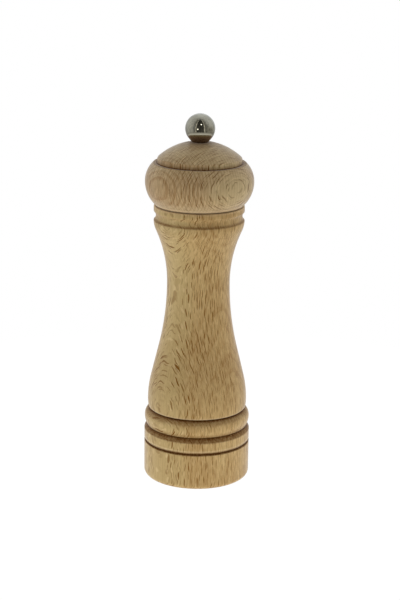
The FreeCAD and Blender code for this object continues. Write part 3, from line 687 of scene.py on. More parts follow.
@dataclass(frozen=True)
class BeechFinish:
    """Oiled beech.

    Attributes:
        name: The material's name.
        turn: Angle of the growth rings about the axis, in degrees.
        cut: How far along the log the piece was cut, in millimetres.
        pale: Colour of early wood.
        deep: Colour of late wood.
        fleck: Colour of the ray flecks.
        ray_face: Colour where the rays lie flat in the surface.
        ray_share: How much of that colour shows.
        end_grain: Colour where the fibres end in the surface.
        groove_shade: How dark the painted shade in the grooves' bottoms is.
        fleck_strength: How far the flecks stand out.
        ring_strength: How far the rings stand out.
        bump_strength: Share of the grain's relief that shows.
        bump: Depth of the grain, in metres.
        gloss: Strength of the oil's reflections.
        gloss_tint: Colour of those reflections.
        sheen: Strength and roughness of the fibres' sheen.
    """

    name: str
    turn: float
    cut: float
    pale: tuple[float, float, float]
    deep: tuple[float, float, float]
    fleck: tuple[float, float, float]
    ray_face: tuple[float, float, float]
    ray_share: float
    end_grain: tuple[float, float, float]
    groove_shade: float = 0.94
    fleck_strength: float = 0.95
    ring_strength: float = 0.25
    bump_strength: float = 0.12
    bump: float = 0.00004
    gloss: float = 0.33
    gloss_tint: tuple[float, float, float] = (1.0, 0.80, 0.30)
    sheen: tuple[float, float] = (0.45, 0.3)

    def material(self) -> bpy.types.Material:
        """Build the material.

        Returns:
            The new material.
        """
        made, nodes, shader = new_material(self.name)
        coordinates = nodes.add("ShaderNodeTexCoord").outputs
        grain = nodes.group("beech_grain", {
            "Place": coordinates["Object"], "Normal": coordinates["Normal"], "Cut": (0, 0, self.cut),
            "Turn": math.radians(self.turn), "Pale": (*self.pale, 1), "Deep": (*self.deep, 1),
            "Fleck": (*self.fleck, 1), "Fleck Strength": self.fleck_strength,
            "Ring Strength": self.ring_strength, "Ray Face": (*self.ray_face, 1), "Ray Share": self.ray_share,
            "End Grain": (*self.end_grain, 1),
        }).outputs
        masks = {label.title(): nodes.add("ShaderNodeAttribute", attribute_name=label).outputs["Fac"]
                 for label in ("cavity", "crest", "inside", "burn_and_shade")}
        edges = nodes.group("turned_edges", {
            "Color": grain["Color"], "Place": coordinates["Object"], "Groove Shade Strength": self.groove_shade, **masks,
        }).outputs
        relief = {"Height": grain["Height"], "Strength": self.bump_strength, "Distance": self.bump}
        nodes.feed(shader.inputs, {
            "Base Color": edges["Color"],
            "Roughness": nodes.math("ADD", grain["Roughness"], edges["Dullness"]),
            "Normal": nodes.add("ShaderNodeBump", relief).outputs[0],
            "Specular IOR Level": self.gloss, "Specular Tint": (*self.gloss_tint, 1),
            "Sheen Weight": self.sheen[0], "Sheen Roughness": self.sheen[1],
        })
        return made


@dataclass(frozen=True)
class SteelFinish:
    """Worked steel.

    Attributes:
        name: The material's name.
        light: Colour of clean metal.
        dark: Colour of handled metal.
        roughness: Least roughness.
        lines: Waves per millimetre of the tool's lines along x, y and z.
        line_strength: How far those lines stand out.
        bump: Depth of the lines, in metres.
        bump_strength: Share of the lines' relief that shows.
    """

    name: str
    light: tuple[float, float, float]
    dark: tuple[float, float, float]
    roughness: float
    lines: tuple[float, float, float] = (0.4, 0.4, 9.0)
    line_strength: float = 0.3
    bump: float = 0.00003
    bump_strength: float = 0.2

    def material(self) -> bpy.types.Material:
        """Build the material.

        Returns:
            The new material.
        """
        made, nodes, shader = new_material(self.name)
        metal = nodes.group("worked_steel", {
            "Place": nodes.add("ShaderNodeTexCoord").outputs["Object"],
            # Bands of painted shade, which only the knob has.
            "Reflected Shade Share": nodes.add("ShaderNodeAttribute", attribute_name="burn_and_shade").outputs["Fac"],
            "Line Scale": self.lines, "Line Strength": self.line_strength, "Light": (*self.light, 1),
            "Dark": (*self.dark, 1), "Roughness": self.roughness,
        }).outputs
        relief = {"Height": metal["Height"], "Strength": self.bump_strength, "Distance": self.bump}
        nodes.feed(shader.inputs, {
            "Base Color": metal["Color"], "Roughness": metal["Roughness"], "Metallic": 1.0,
            "Normal": nodes.add("ShaderNodeBump", relief).outputs[0],
        })
        return made


BODY_BEECH = BeechFinish(
    "body_beech", turn=45.0, cut=1190.0, pale=(0.70, 0.482, 0.215), deep=(0.45, 0.247, 0.086),
    fleck=(0.205, 0.070, 0.002), ray_face=(0.63, 0.515, 0.245), ray_share=0.4, end_grain=(0.42, 0.28, 0.12))
HEAD_BEECH = BeechFinish(
    "head_beech", turn=-42.0, cut=170.0, pale=(0.66, 0.475, 0.262), deep=(0.455, 0.275, 0.125),
    fleck=(0.18, 0.068, 0.010), ray_face=(0.74, 0.6, 0.33), ray_share=0.55, end_grain=(0.40, 0.315, 0.165),
    groove_shade=0.5, ring_strength=0.7)
POLISHED = SteelFinish(
    "polished_steel", (0.36, 0.34, 0.262), (0.285, 0.265, 0.197), 0.05, (0.3, 0.3, 6.0),
    line_strength=0.10, bump=0.000004)
SHAFT_STEEL = SteelFinish("shaft_steel", (0.62, 0.62, 0.61), (0.34, 0.34, 0.33), 0.26, (3.0, 3.0, 0.1))
PLATE_STEEL = SteelFinish("plate_steel", (0.66, 0.66, 0.65), (0.44, 0.44, 0.43), 0.24, (0.15, 5.0, 5.0))
SCREW_STEEL = SteelFinish("screw_steel", (0.68, 0.66, 0.60), (0.42, 0.40, 0.35), 0.22)
GRINDING_STEEL = SteelFinish(
    "grinding_steel", (0.34, 0.34, 0.345), (0.15, 0.15, 0.155), 0.33, (1.0, 1.0, 6.0))
SPRING_STEEL = SteelFinish("spring_steel", (0.56, 0.56, 0.57), (0.28, 0.28, 0.29), 0.22, (2.0, 2.0, 2.0))
FINISHES = (
    BODY_BEECH, HEAD_BEECH, POLISHED, SHAFT_STEEL, PLATE_STEEL, SCREW_STEEL, GRINDING_STEEL, SPRING_STEEL)


def coat(piece: bpy.types.Object, finish: bpy.types.Material) -> None:
    """Give a piece one finish all over."""
    piece.data.materials.clear()
    piece.data.materials.append(finish)
    log.info("%s: %s", piece.name, finish.name)


class SingleFinish:
    """Piece that is one mesh with one finish all over."""

    finish: BeechFinish | SteelFinish

    def dress(self, piece: bpy.types.Object, materials: dict[str, bpy.types.Material]) -> None:
        """Give the built piece its finish.

        Args:
            piece: What build has made.
            materials: The built materials, by finish name.
        """
        coat(piece, materials[self.finish.name])


def round_angles(columns: int) -> np.ndarray:
    """Angles of evenly spaced columns round the axis, in radians."""
    return np.linspace(-math.pi, math.pi, columns, endpoint=False)


# The mill's pieces


@dataclass
class MillBody(SingleFinish):
    """Turned body with its bead, grooves, waist and collar, bored through for the chamber.

    Attributes:
        base: Radius of the base ring.
        foot_round: Radius of the foot's rounded edge.
        line: Height, width and depth of the line round the base ring.
        ring_top: Height where the base ring ends.
        ledge: Radius and height where the bead starts.
        bead: Radius and height of the bead's widest place.
        groove: Radius, height, width and depth of the groove above the bead.
        taper: Radius and height where the body starts to narrow.
        foot_curve: Height of the curve above that.
        waist: Radius and height of the narrowest place.
        waist_curve: Height of the curve below that.
        swell: Height of the curve under the collar.
        collar: Radius and height where the collar starts.
        cove: Height and depth of the hollow round the collar.
        height: Height of the body's top.
        edge: Chamfer round the top.
        bore: Radius of the chamber.
        mouth: Chamfer at the chamber's mouth.
        seat: Radius and top of the grinding ring's seat.
        recess: Radius and top of the recess in the foot.
        recess_edge: Chamfer at the recess's mouth.
        keyway: Half width, distance from the axis and top of the two keyways.
        key_step: How far the seat steps out at the keyways' top.
        key_slack: How far a keyway's rows stop under its top and reach under the recess's top.
        key_reach: How far past a keyway's flat its outer columns are set.
        burns_and_shade: Bands of the tool's burnt lines, and bands of painted shade.
        edge_highlights: Bands whose raised edges get a painted highlight.
        highlight_bands: Bands that get a painted highlight all over.
        columns: Evenly spaced columns of the mesh.
        rows: Rows of the mesh.
        finish: The wood.
        flank_rounds: Rounds in which the flank's slope is worked out.
    """

    base: float = 30.2
    foot_round: float = 3.0
    line: tuple[float, float, float] = (21.4, 1.6, 0.8)
    ring_top: float = 28.2
    ledge: tuple[float, float] = (28.6, 30.6)
    bead: tuple[float, float] = (30.0, 35.6)
    groove: tuple[float, float, float, float] = (27.9, 39.9, 1.5, 1.0)
    taper: tuple[float, float] = (28.25, 45.4)
    foot_curve: float = 14.0
    waist: tuple[float, float] = (17.7, 114.5)
    waist_curve: float = 37.4
    swell: float = 5.4
    collar: tuple[float, float] = (25.45, 150.3)
    cove: tuple[float, float] = (5.2, 1.25)
    height: float = 158.6
    edge: float = 0.4
    bore: float = 12.5
    mouth: float = 0.4
    seat: tuple[float, float] = (17.1, 19.0)
    recess: tuple[float, float] = (23.5, 5.0)
    recess_edge: float = 0.3
    keyway: tuple[float, float, float] = (2.1, 18.6, 13.1)
    key_step: float = 0.03
    key_slack: tuple[float, float] = (0.02, 0.3)
    key_reach: float = 0.12
    # Tool's burnt lines in the line, groove, ledge and cove's foot; painted shade round the bead and on the
    # lower flank.
    burns_and_shade: tuple[Band, ...] = (
        Band(20.55, 22.3, 1.0, 0.2), Band(28.0, 30.9, 0.75, 0.3), Band(28.3, 31.2, 0.28, 0.3, 29.2),
        Band(30.6, 32.4, 0.4, 1.4), Band(37.9, 39.9, 0.45, 1.6), Band(39.7, 41.15, 1.0, 0.2),
        Band(44.5, 75.0, 0.10, 8.0), Band(50.0, 95.0, 0.04, 25.0), Band(150.2, 151.3, 0.6, 0.5))
    # Painted highlights: on raised edges, and over two whole bands.
    edge_highlights: tuple[Band, ...] = (
        Band(22.3, 23.4, 1.0, 0.2), Band(27.6, 28.1, 0.5, 0.4), Band(41.2, 42.2, 0.7, 0.3))
    highlight_bands: tuple[Band, ...] = (Band(22.4, 23.2, 0.4, 0.3), Band(158.0, 158.7, 0.4, 0.3))
    columns: int = 200
    rows: int = 430
    finish: BeechFinish = BODY_BEECH
    flank_rounds: int = 30

    def flank(self) -> tuple[tuple[float, float], tuple[float, float]]:
        """Ends of the straight flank that runs on smoothly from both curves.

        With t the tangent of half the flank's slope angle, the curves fall by their heights times t and the
        flank by its height times 2t / (1 - t * t), which together make up the taper.

        Returns:
            Radius and height of its lower and its upper end.
        """
        straight = self.waist[1] - self.taper[1] - self.foot_curve - self.waist_curve
        half = 0.0
        for _ in range(self.flank_rounds):
            half = (self.taper[0] - self.waist[0]) / (
                self.foot_curve + self.waist_curve + 2 * straight / (1 - half ** 2))
        low = (self.taper[0] - self.foot_curve * half, self.taper[1] + self.foot_curve)
        return low, (self.waist[0] + self.waist_curve * half, self.waist[1] - self.waist_curve)

    def outline(self) -> tuple[Outline, int]:
        """Half section from the foot up the outside and down the bore.

        Returns:
            The outline, and the part of it from which the wood is raw.
        """
        low, high = self.flank()
        line_z, line_w, line_d = self.line
        groove_r, groove_z, groove_w, groove_d = self.groove
        neck = (self.collar[0] - self.waist[0]) / (self.collar[1] - self.waist[1])
        cove_h, cove_d = self.cove
        cove_top = self.collar[1] + cove_h
        bend = (cove_h ** 2 / 4 + cove_d ** 2) / (2 * cove_d)
        shape = Outline(self.recess[0] + self.recess_edge, 0).line(self.base - self.foot_round, 0)
        shape.arc(self.base, self.foot_round, (self.base - self.foot_round, self.foot_round))
        shape.line(self.base, line_z - line_w / 2).line(self.base - line_d, line_z)
        shape.line(self.base, line_z + line_w / 2).line(self.base, self.ring_top).line(*self.ledge)
        shape.arc_about_level(*self.bead, self.bead[1]).arc_about_level(groove_r, groove_z, self.bead[1])
        shape.line(groove_r - groove_d, groove_z + groove_w / 2).line(groove_r, groove_z + groove_w)
        shape.arc_about_level(*self.taper, self.taper[1]).arc_about_level(*low, self.taper[1]).line(*high)
        shape.arc_about_level(*self.waist, self.waist[1])
        shape.arc_about_level(self.collar[0] - neck * self.swell, self.collar[1] - self.swell, self.waist[1])
        shape.arc_about_level(*self.collar, self.collar[1])
        shape.arc(self.collar[0], cove_top, (self.collar[0] - cove_d + bend, self.collar[1] + cove_h / 2))
        shape.line(self.collar[0], self.height - self.edge).line(self.collar[0] - self.edge, self.height)
        shape.line(self.bore + self.mouth, self.height)
        outside = len(shape.parts)
        shape.line(self.bore, self.height - self.mouth).line(self.bore, self.seat[1]).line(*self.seat)
        shape.line(self.seat[0], self.keyway[2]).line(self.seat[0] + self.key_step, self.keyway[2])
        shape.line(self.seat[0] + self.key_step, self.recess[1]).line(*self.recess)
        shape.line(self.recess[0], self.recess_edge)
        return shape, outside

    def build(self) -> bpy.types.Object:
        """Turn the body and cut the two keyways, where the seat widens to a flat across the y axis.

        Returns:
            The new piece.
        """
        shape, outside = self.outline()
        section = ease(shape, Pole.RING, self.rows, outside, self.burns_and_shade, self.edge_highlights, self.highlight_bands)
        half, depth, top = self.keyway
        sides = np.array([math.asin(half / self.seat[0]), math.asin(half / (depth + self.key_reach))])
        extra = np.concatenate([s * math.pi / 2 + t * sides for s in (1, -1) for t in (1, -1)])
        angles = np.unique(np.round(np.concatenate([round_angles(self.columns), extra]), 6))
        radius = section.rz[:, :1] * np.ones_like(angles)
        flat = depth / np.maximum(np.abs(np.sin(angles)), 1e-6)
        in_key = np.abs(flat * np.cos(angles)) <= half + 1e-3
        z = section.rz[:, 1:]
        beside = (z < top - self.key_slack[0]) & (z > self.recess[1] - self.key_slack[1])
        seated = (section.inside[:, None] > 0.5) & beside & (radius < flat)
        radius = np.where(seated & in_key, flat, radius)
        piece = turn_piece("turned_body", section, Pole.RING, angles, radius)
        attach(piece, "body")
        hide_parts("mill_body")
        return piece


@dataclass
class MillHead(SingleFinish):
    """Turned head with its bulb, stepped dome and tenon.

    Attributes:
        underside: Height of the underside.
        foot: Radius of the underside.
        bulb: Radius and height of the widest place.
        shoulder: Radius and height where the bulb ends.
        dome: Radius of the dome's wall, and heights where it starts and ends.
        dome_roll: How far the dome's edge rolls in, and how far up.
        seat: Radius and height of the flat under the knob.
        edge: Chamfer round the underside.
        tenon: Radius, lower end and chamfer of the tenon.
        plate: Radius and top of the drive plate's recess.
        shaft_hole: Radius and top of the shaft's hole.
        spigot_hole: Radius of the narrower hole above it.
        burns_and_shade: Bands of painted shade.
        edge_highlights: Bands whose raised edges get a painted highlight.
        highlight_bands: Bands that get a painted highlight all over.
        columns: Columns of the mesh.
        rows: Rows of the mesh.
        finish: The wood.
    """

    underside: float = 158.9
    foot: float = 24.8
    bulb: tuple[float, float] = (30.4, 172.3)
    shoulder: tuple[float, float] = (25.8, 182.75)
    dome: tuple[float, float, float] = (23.6, 182.45, 184.6)
    dome_roll: tuple[float, float] = (0.8, 1.4)
    seat: tuple[float, float] = (5.2, 194.2)
    edge: float = 0.4
    tenon: tuple[float, float, float] = (12.25, 144.9, 0.8)
    plate: tuple[float, float] = (10.1, 146.9)
    shaft_hole: tuple[float, float] = (4.319, 189.4)
    spigot_hole: float = 3.3
    # Painted shade: at the joint, on the dome's wall and shoulder dip, round the knob's seat and over the
    # dome's top.
    burns_and_shade: tuple[Band, ...] = (
        Band(158.8, 159.2, 0.55, 0.15, beyond=24.2), Band(182.0, 183.3, 0.2, 0.5, 24.4),
        Band(182.0, 183.9, 0.25, 1.3, 24.2), Band(182.3, 182.9, 0.45, 0.2, 26.2),
        Band(193.8, 194.8, 0.2, 0.4, 9.0), Band(192.6, 194.8, 0.14, 1.2, 14.0))
    # Painted highlights on the bulb's lower rim and over its lower part.
    edge_highlights: tuple[Band, ...] = (Band(158.6, 160.4, 1.0, 0.4),)
    highlight_bands: tuple[Band, ...] = (Band(159.2, 160.5, 0.45, 0.3), Band(159.2, 163.5, 0.2, 1.6))
    columns: int = 200
    rows: int = 400
    finish: BeechFinish = HEAD_BEECH

    def outline(self) -> tuple[Outline, int]:
        """Half section from under the head up the outside and down the shaft's hole.

        Returns:
            The outline, and the part of it from which the wood is raw.
        """
        roll_in, roll_up = self.dome_roll
        shape = Outline(self.tenon[0], self.underside).line(self.foot - self.edge, self.underside)
        shape.line(self.foot, self.underside + self.edge).arc_about_level(*self.bulb, self.bulb[1])
        shape.arc_about_level(*self.shoulder, self.bulb[1]).line(self.dome[0], self.dome[1])
        shape.line(self.dome[0], self.dome[2])
        shape.arc_about_level(self.dome[0] - roll_in, self.dome[2] + roll_up, self.dome[2])
        shape.arc_about_axis(*self.seat).line(self.spigot_hole, self.seat[1])
        outside = len(shape.parts)
        shape.line(self.spigot_hole, self.shaft_hole[1]).line(*self.shaft_hole)
        shape.line(self.shaft_hole[0], self.plate[1]).line(*self.plate).line(self.plate[0], self.tenon[1])
        shape.line(self.tenon[0] - self.tenon[2], self.tenon[1])
        shape.line(self.tenon[0], self.tenon[1] + self.tenon[2])
        return shape, outside

    def build(self) -> bpy.types.Object:
        """Turn the head.

        Returns:
            The new piece.
        """
        shape, outside = self.outline()
        section = ease(shape, Pole.RING, self.rows, outside, self.burns_and_shade, self.edge_highlights, self.highlight_bands)
        piece = turn_piece("turned_head", section, Pole.RING, round_angles(self.columns))
        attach(piece, "head")
        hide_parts("head")
        return piece


@dataclass
class BallKnob(SingleFinish):
    """Polished ball on a conical foot, bored for the shaft's thread.

    Attributes:
        foot: Height of the underside.
        foot_height: Height of the conical foot.
        angle: Degrees by which the cone's side leans from upright.
        radius: Radius of the ball.
        hole: Radius and top of the bored hole.
        hole_edge: Chamfer at the hole's mouth.
        eased: Spread of the curve that eases the edges.
        burns_and_shade: Bands of painted shade, where the metal reflects the shaded dome.
        columns: Columns of the mesh.
        rows: Rows of the mesh.
        finish: The metal.
    """

    foot: float = 194.25
    foot_height: float = 2.1
    angle: float = 40.0
    radius: float = 8.3
    hole: tuple[float, float] = (3.05, 204.75)
    hole_edge: float = 0.4
    eased: float = 0.07
    # Painted shade on the foot and lower ball, where they reflect the shaded dome.
    burns_and_shade: tuple[Band, ...] = (Band(190.0, 198.2, 0.75, 0.8),)
    columns: int = 160
    rows: int = 260
    finish: SteelFinish = POLISHED

    def build(self) -> bpy.types.Object:
        """Turn the knob: from the hole's end on the axis down its wall, round the foot and up over the ball.

        Returns:
            The new piece.
        """
        tilt = math.radians(self.angle)
        tangent = (self.radius * math.cos(tilt), self.foot + self.foot_height)
        centre = (0.0, tangent[1] + self.radius * math.sin(tilt))
        low = tangent[0] - self.foot_height * math.tan(tilt)
        shape = Outline(0, self.hole[1]).line(*self.hole).line(self.hole[0], self.foot + self.hole_edge)
        shape.line(self.hole[0] + self.hole_edge, self.foot).line(low, self.foot).line(*tangent)
        shape.arc(0, centre[1] + self.radius, centre)
        section = ease(shape, Pole.AXIS, self.rows, burns_and_shade=self.burns_and_shade, edge=self.eased)
        piece = turn_piece("ball_knob", section, Pole.AXIS, round_angles(self.columns))
        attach(piece, "knob")
        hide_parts("knob_nut")
        return piece


@dataclass
class SquareShaft(SingleFinish):
    """Square shaft with a screw thread at each end.

    Attributes:
        half: Half the square's width.
        eased: Distance from a flat's middle where its corner is cut off.
        square: Heights where the square starts and ends.
        top: Radius, end and pitch of the upper thread.
        pivot: Radius, end and pitch of the lower thread.
        chamfer: How much thinner each end is.
        thread_depth: Depth of both threads.
        tip: Distance of the outermost rows from the ends.
        join: Distance between the two rows where a thread meets the square.
        margin: Distance of the next rows from an end or a join.
        top_margin: Distances that the upper thread's rows keep from the join and from the end.
        steps: Distance between rows on the lower and the upper thread.
        square_rows: Rows along the square.
        columns: Columns of the mesh.
        sharp: Degrees between faces from which an edge looks sharp.
        finish: The metal.
    """

    half: float = 3.0
    eased: float = 2.6
    square: tuple[float, float] = (11.6, 188.0)
    top: tuple[float, float, float] = (3.0, 203.15, 1.0)
    pivot: tuple[float, float, float] = (2.5, 2.9, 0.8)
    chamfer: float = 0.7
    thread_depth: float = 0.3
    tip: float = 1e-4
    join: float = 1e-3
    margin: float = 0.05
    top_margin: tuple[float, float] = (0.08, 0.04)
    steps: tuple[float, float] = (0.08, 0.1)
    square_rows: int = 40
    columns: int = 64
    sharp: float = 35.0
    finish: SteelFinish = SHAFT_STEEL

    def heights(self) -> np.ndarray:
        """Heights of the rows: close together on the threads, and in pairs where a thread meets the square.

        Returns:
            One height per row, as a column.
        """
        (low, high), start, end = self.square, self.pivot[1], self.top[1]
        after, before = self.top_margin
        return np.concatenate([
            [start + self.tip], np.arange(start + self.margin, low, self.steps[0]), [low - self.join, low],
            np.linspace(low + self.margin, high - self.margin, self.square_rows), [high, high + self.join],
            np.arange(high + after, end - before, self.steps[1]), [end - self.tip]])[:, None]

    def build(self) -> bpy.types.Object:
        """Shape the shaft.

        On the square the radius follows the flats and the cut corners. On a thread it dips by a triangle wave
        of height over pitch less the turn, and it narrows to the chamfer at the end.

        Returns:
            The new piece.
        """
        angles = round_angles(self.columns) + math.pi / self.columns
        low, high = self.square
        rows = self.heights()
        flat = self.half / np.maximum(np.abs(np.cos(angles)), np.abs(np.sin(angles)))
        corner = (self.half + self.eased) / (np.abs(np.cos(angles)) + np.abs(np.sin(angles)))
        square = np.minimum(flat, corner)[None, :]

        def threaded(radius: float, pitch: float) -> np.ndarray:
            """Radius of a screw thread at each row and column."""
            wave = np.abs((rows / pitch - angles / (2 * math.pi)) % 1 - 0.5) * 2
            return radius - self.thread_depth * wave

        pivot = np.minimum(threaded(self.pivot[0], self.pivot[2]),
                           self.pivot[0] - self.chamfer + (rows - self.pivot[1]))
        top = np.minimum(threaded(self.top[0], self.top[2]), self.top[0] - self.chamfer + self.top[1] - rows)
        radius = np.where(rows < low, pivot, np.where(rows <= high, square, top))
        grid = np.stack([radius * np.cos(angles), radius * np.sin(angles), rows * np.ones_like(angles)], -1)
        ends = np.array([[0, 0, self.pivot[1]], [0, 0, self.top[1]]])
        corners = np.concatenate([grid.reshape(-1, 3), ends])
        size = (len(rows), self.columns)
        piece = make_piece("square_shaft", corners, grid_faces(*size, False), close_ends(*size))
        piece.data.set_sharp_from_angle(angle=math.radians(self.sharp))
        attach(piece, "shaft")
        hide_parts("shaft")
        return piece


@dataclass
class CoilSpring(SingleFinish):
    """Round-wire spring coiled round the shaft.

    Attributes:
        wire: Radius of the wire.
        radius: Radius of the coil at the wire's middle.
        low: Height where the wire's middle starts.
        rise: Height that it climbs.
        turns: How often it goes round.
        along: Rows along the wire.
        around: Columns round the wire.
        finish: The metal.
    """

    wire: float = 0.5
    radius: float = 5.1
    low: float = 20.55
    rise: float = 10.0
    turns: int = 5
    along: int = 240
    around: int = 16
    finish: SteelFinish = SPRING_STEEL

    def build(self) -> bpy.types.Object:
        """Carry a circle along a helix.

        A point turns and climbs evenly. The wire's circle stands square to the helix there, spanned by the
        outward and the downward direction.

        Returns:
            The new piece.
        """
        t = np.linspace(0, 1, self.along)[:, None]
        turn = 2 * math.pi * self.turns * t
        out = np.concatenate([np.cos(turn), np.sin(turn), 0 * turn], 1)
        path = self.radius * out + np.array([0, 0, 1.0]) * (self.low + self.rise * t)
        slope = self.rise / (2 * math.pi * self.turns * self.radius)
        tangent = np.concatenate([-np.sin(turn), np.cos(turn), slope + 0 * turn], 1) / math.hypot(1, slope)
        down = np.cross(tangent, out)
        angle = np.linspace(0, 2 * math.pi, self.around, endpoint=False)
        ring = out[:, None] * np.cos(angle)[None, :, None] + down[:, None] * np.sin(angle)[None, :, None]
        corners = np.concatenate([(path[:, None] + self.wire * ring).reshape(-1, 3), path[[0, -1]]])
        size = (self.along, self.around)
        piece = make_piece("coil_spring", corners, grid_faces(*size, False), close_ends(*size))
        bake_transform(piece)
        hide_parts("spring")
        return piece


@dataclass
class GrindingSet:
    """Steel pieces that keep the shape they came with.

    Attributes:
        finishes: The finish that each one gets, by its node.
    """

    finishes: dict[str, SteelFinish] = field(default_factory=lambda: {
        "grinding_ring": GRINDING_STEEL, "grinding_cone": GRINDING_STEEL, "drive_plate": PLATE_STEEL,
        "cone_washer": PLATE_STEEL, "cone_nut": PLATE_STEEL, "spring_washer": PLATE_STEEL,
        "ring_bridge": PLATE_STEEL, "base_plate": PLATE_STEEL, "drive_plate_screws": SCREW_STEEL,
        "base_plate_screws": SCREW_STEEL,
    })

    def dress(self, materials: dict[str, bpy.types.Material]) -> None:
        """Give each piece its finish.

        Args:
            materials: The built materials, by finish name.
        """
        for node, finish in self.finishes.items():
            coat(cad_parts[node], materials[finish.name])


# The room


def direction(azimuth: float, elevation: float) -> Vector:
    """Direction from the mill to a place in the room.

    Args:
        azimuth: Degrees round from the camera's side, towards +X.
        elevation: Degrees above the horizon.

    Returns:
        The unit direction.
    """
    a, e = math.radians(azimuth), math.radians(elevation)
    return Vector((math.sin(a) * math.cos(e), -math.cos(a) * math.cos(e), math.sin(e)))


@dataclass(frozen=True)
class Glow:
    """Soft patch of light on the room's walls.

    Attributes:
        azimuth: Degrees round from the camera's side, towards +X.
        elevation: Degrees above the horizon.
        width: Degrees from its middle to its rim.
        strength: Brightness at its middle.
    """

    azimuth: float
    elevation: float
    width: float
    strength: float

    def level(self, nodes: Nodes, sight: bpy.types.NodeSocket) -> bpy.types.NodeSocket:
        """Brightness in a direction: it falls smoothly with the cosine of the angle from the middle.

        Args:
            nodes: The world's wiring.
            sight: The direction's socket.

        Returns:
            The brightness socket.
        """
        near = nodes.measure("DOT_PRODUCT", sight, direction(self.azimuth, self.elevation))
        return nodes.spread(near, math.cos(math.radians(self.width)), 1.0, 0.0, self.strength)


@dataclass(frozen=True)
class Lamp:
    """Square area lamp that faces the mill.

    Attributes:
        name: The lamp's name.
        azimuth: Degrees round from the camera's side, towards +X.
        elevation: Degrees above the mill's middle.
        size: Width and height in metres.
        watts: The lamp's power.
        distance: Metres from the mill's middle.
        aim: Height of the mill's middle in metres.
    """

    name: str
    azimuth: float
    elevation: float
    size: float
    watts: float
    distance: float = 1.6
    aim: float = 0.11

    def hang(self) -> None:
        """Put the lamp in its place."""
        back = direction(self.azimuth, self.elevation)
        light = bpy.data.lights.new(self.name, "AREA")
        light.shape = "RECTANGLE"
        light.size = light.size_y = self.size
        light.energy = self.watts
        lamp = bpy.data.objects.new(self.name, light)
        place = Matrix.Translation(Vector((0, 0, self.aim)) + back * self.distance)
        lamp.matrix_world = place @ back.to_track_quat("Z", "Y").to_matrix().to_4x4()
        bpy.context.scene.collection.objects.link(lamp)
        log.info("%s: %g W", self.name, self.watts)


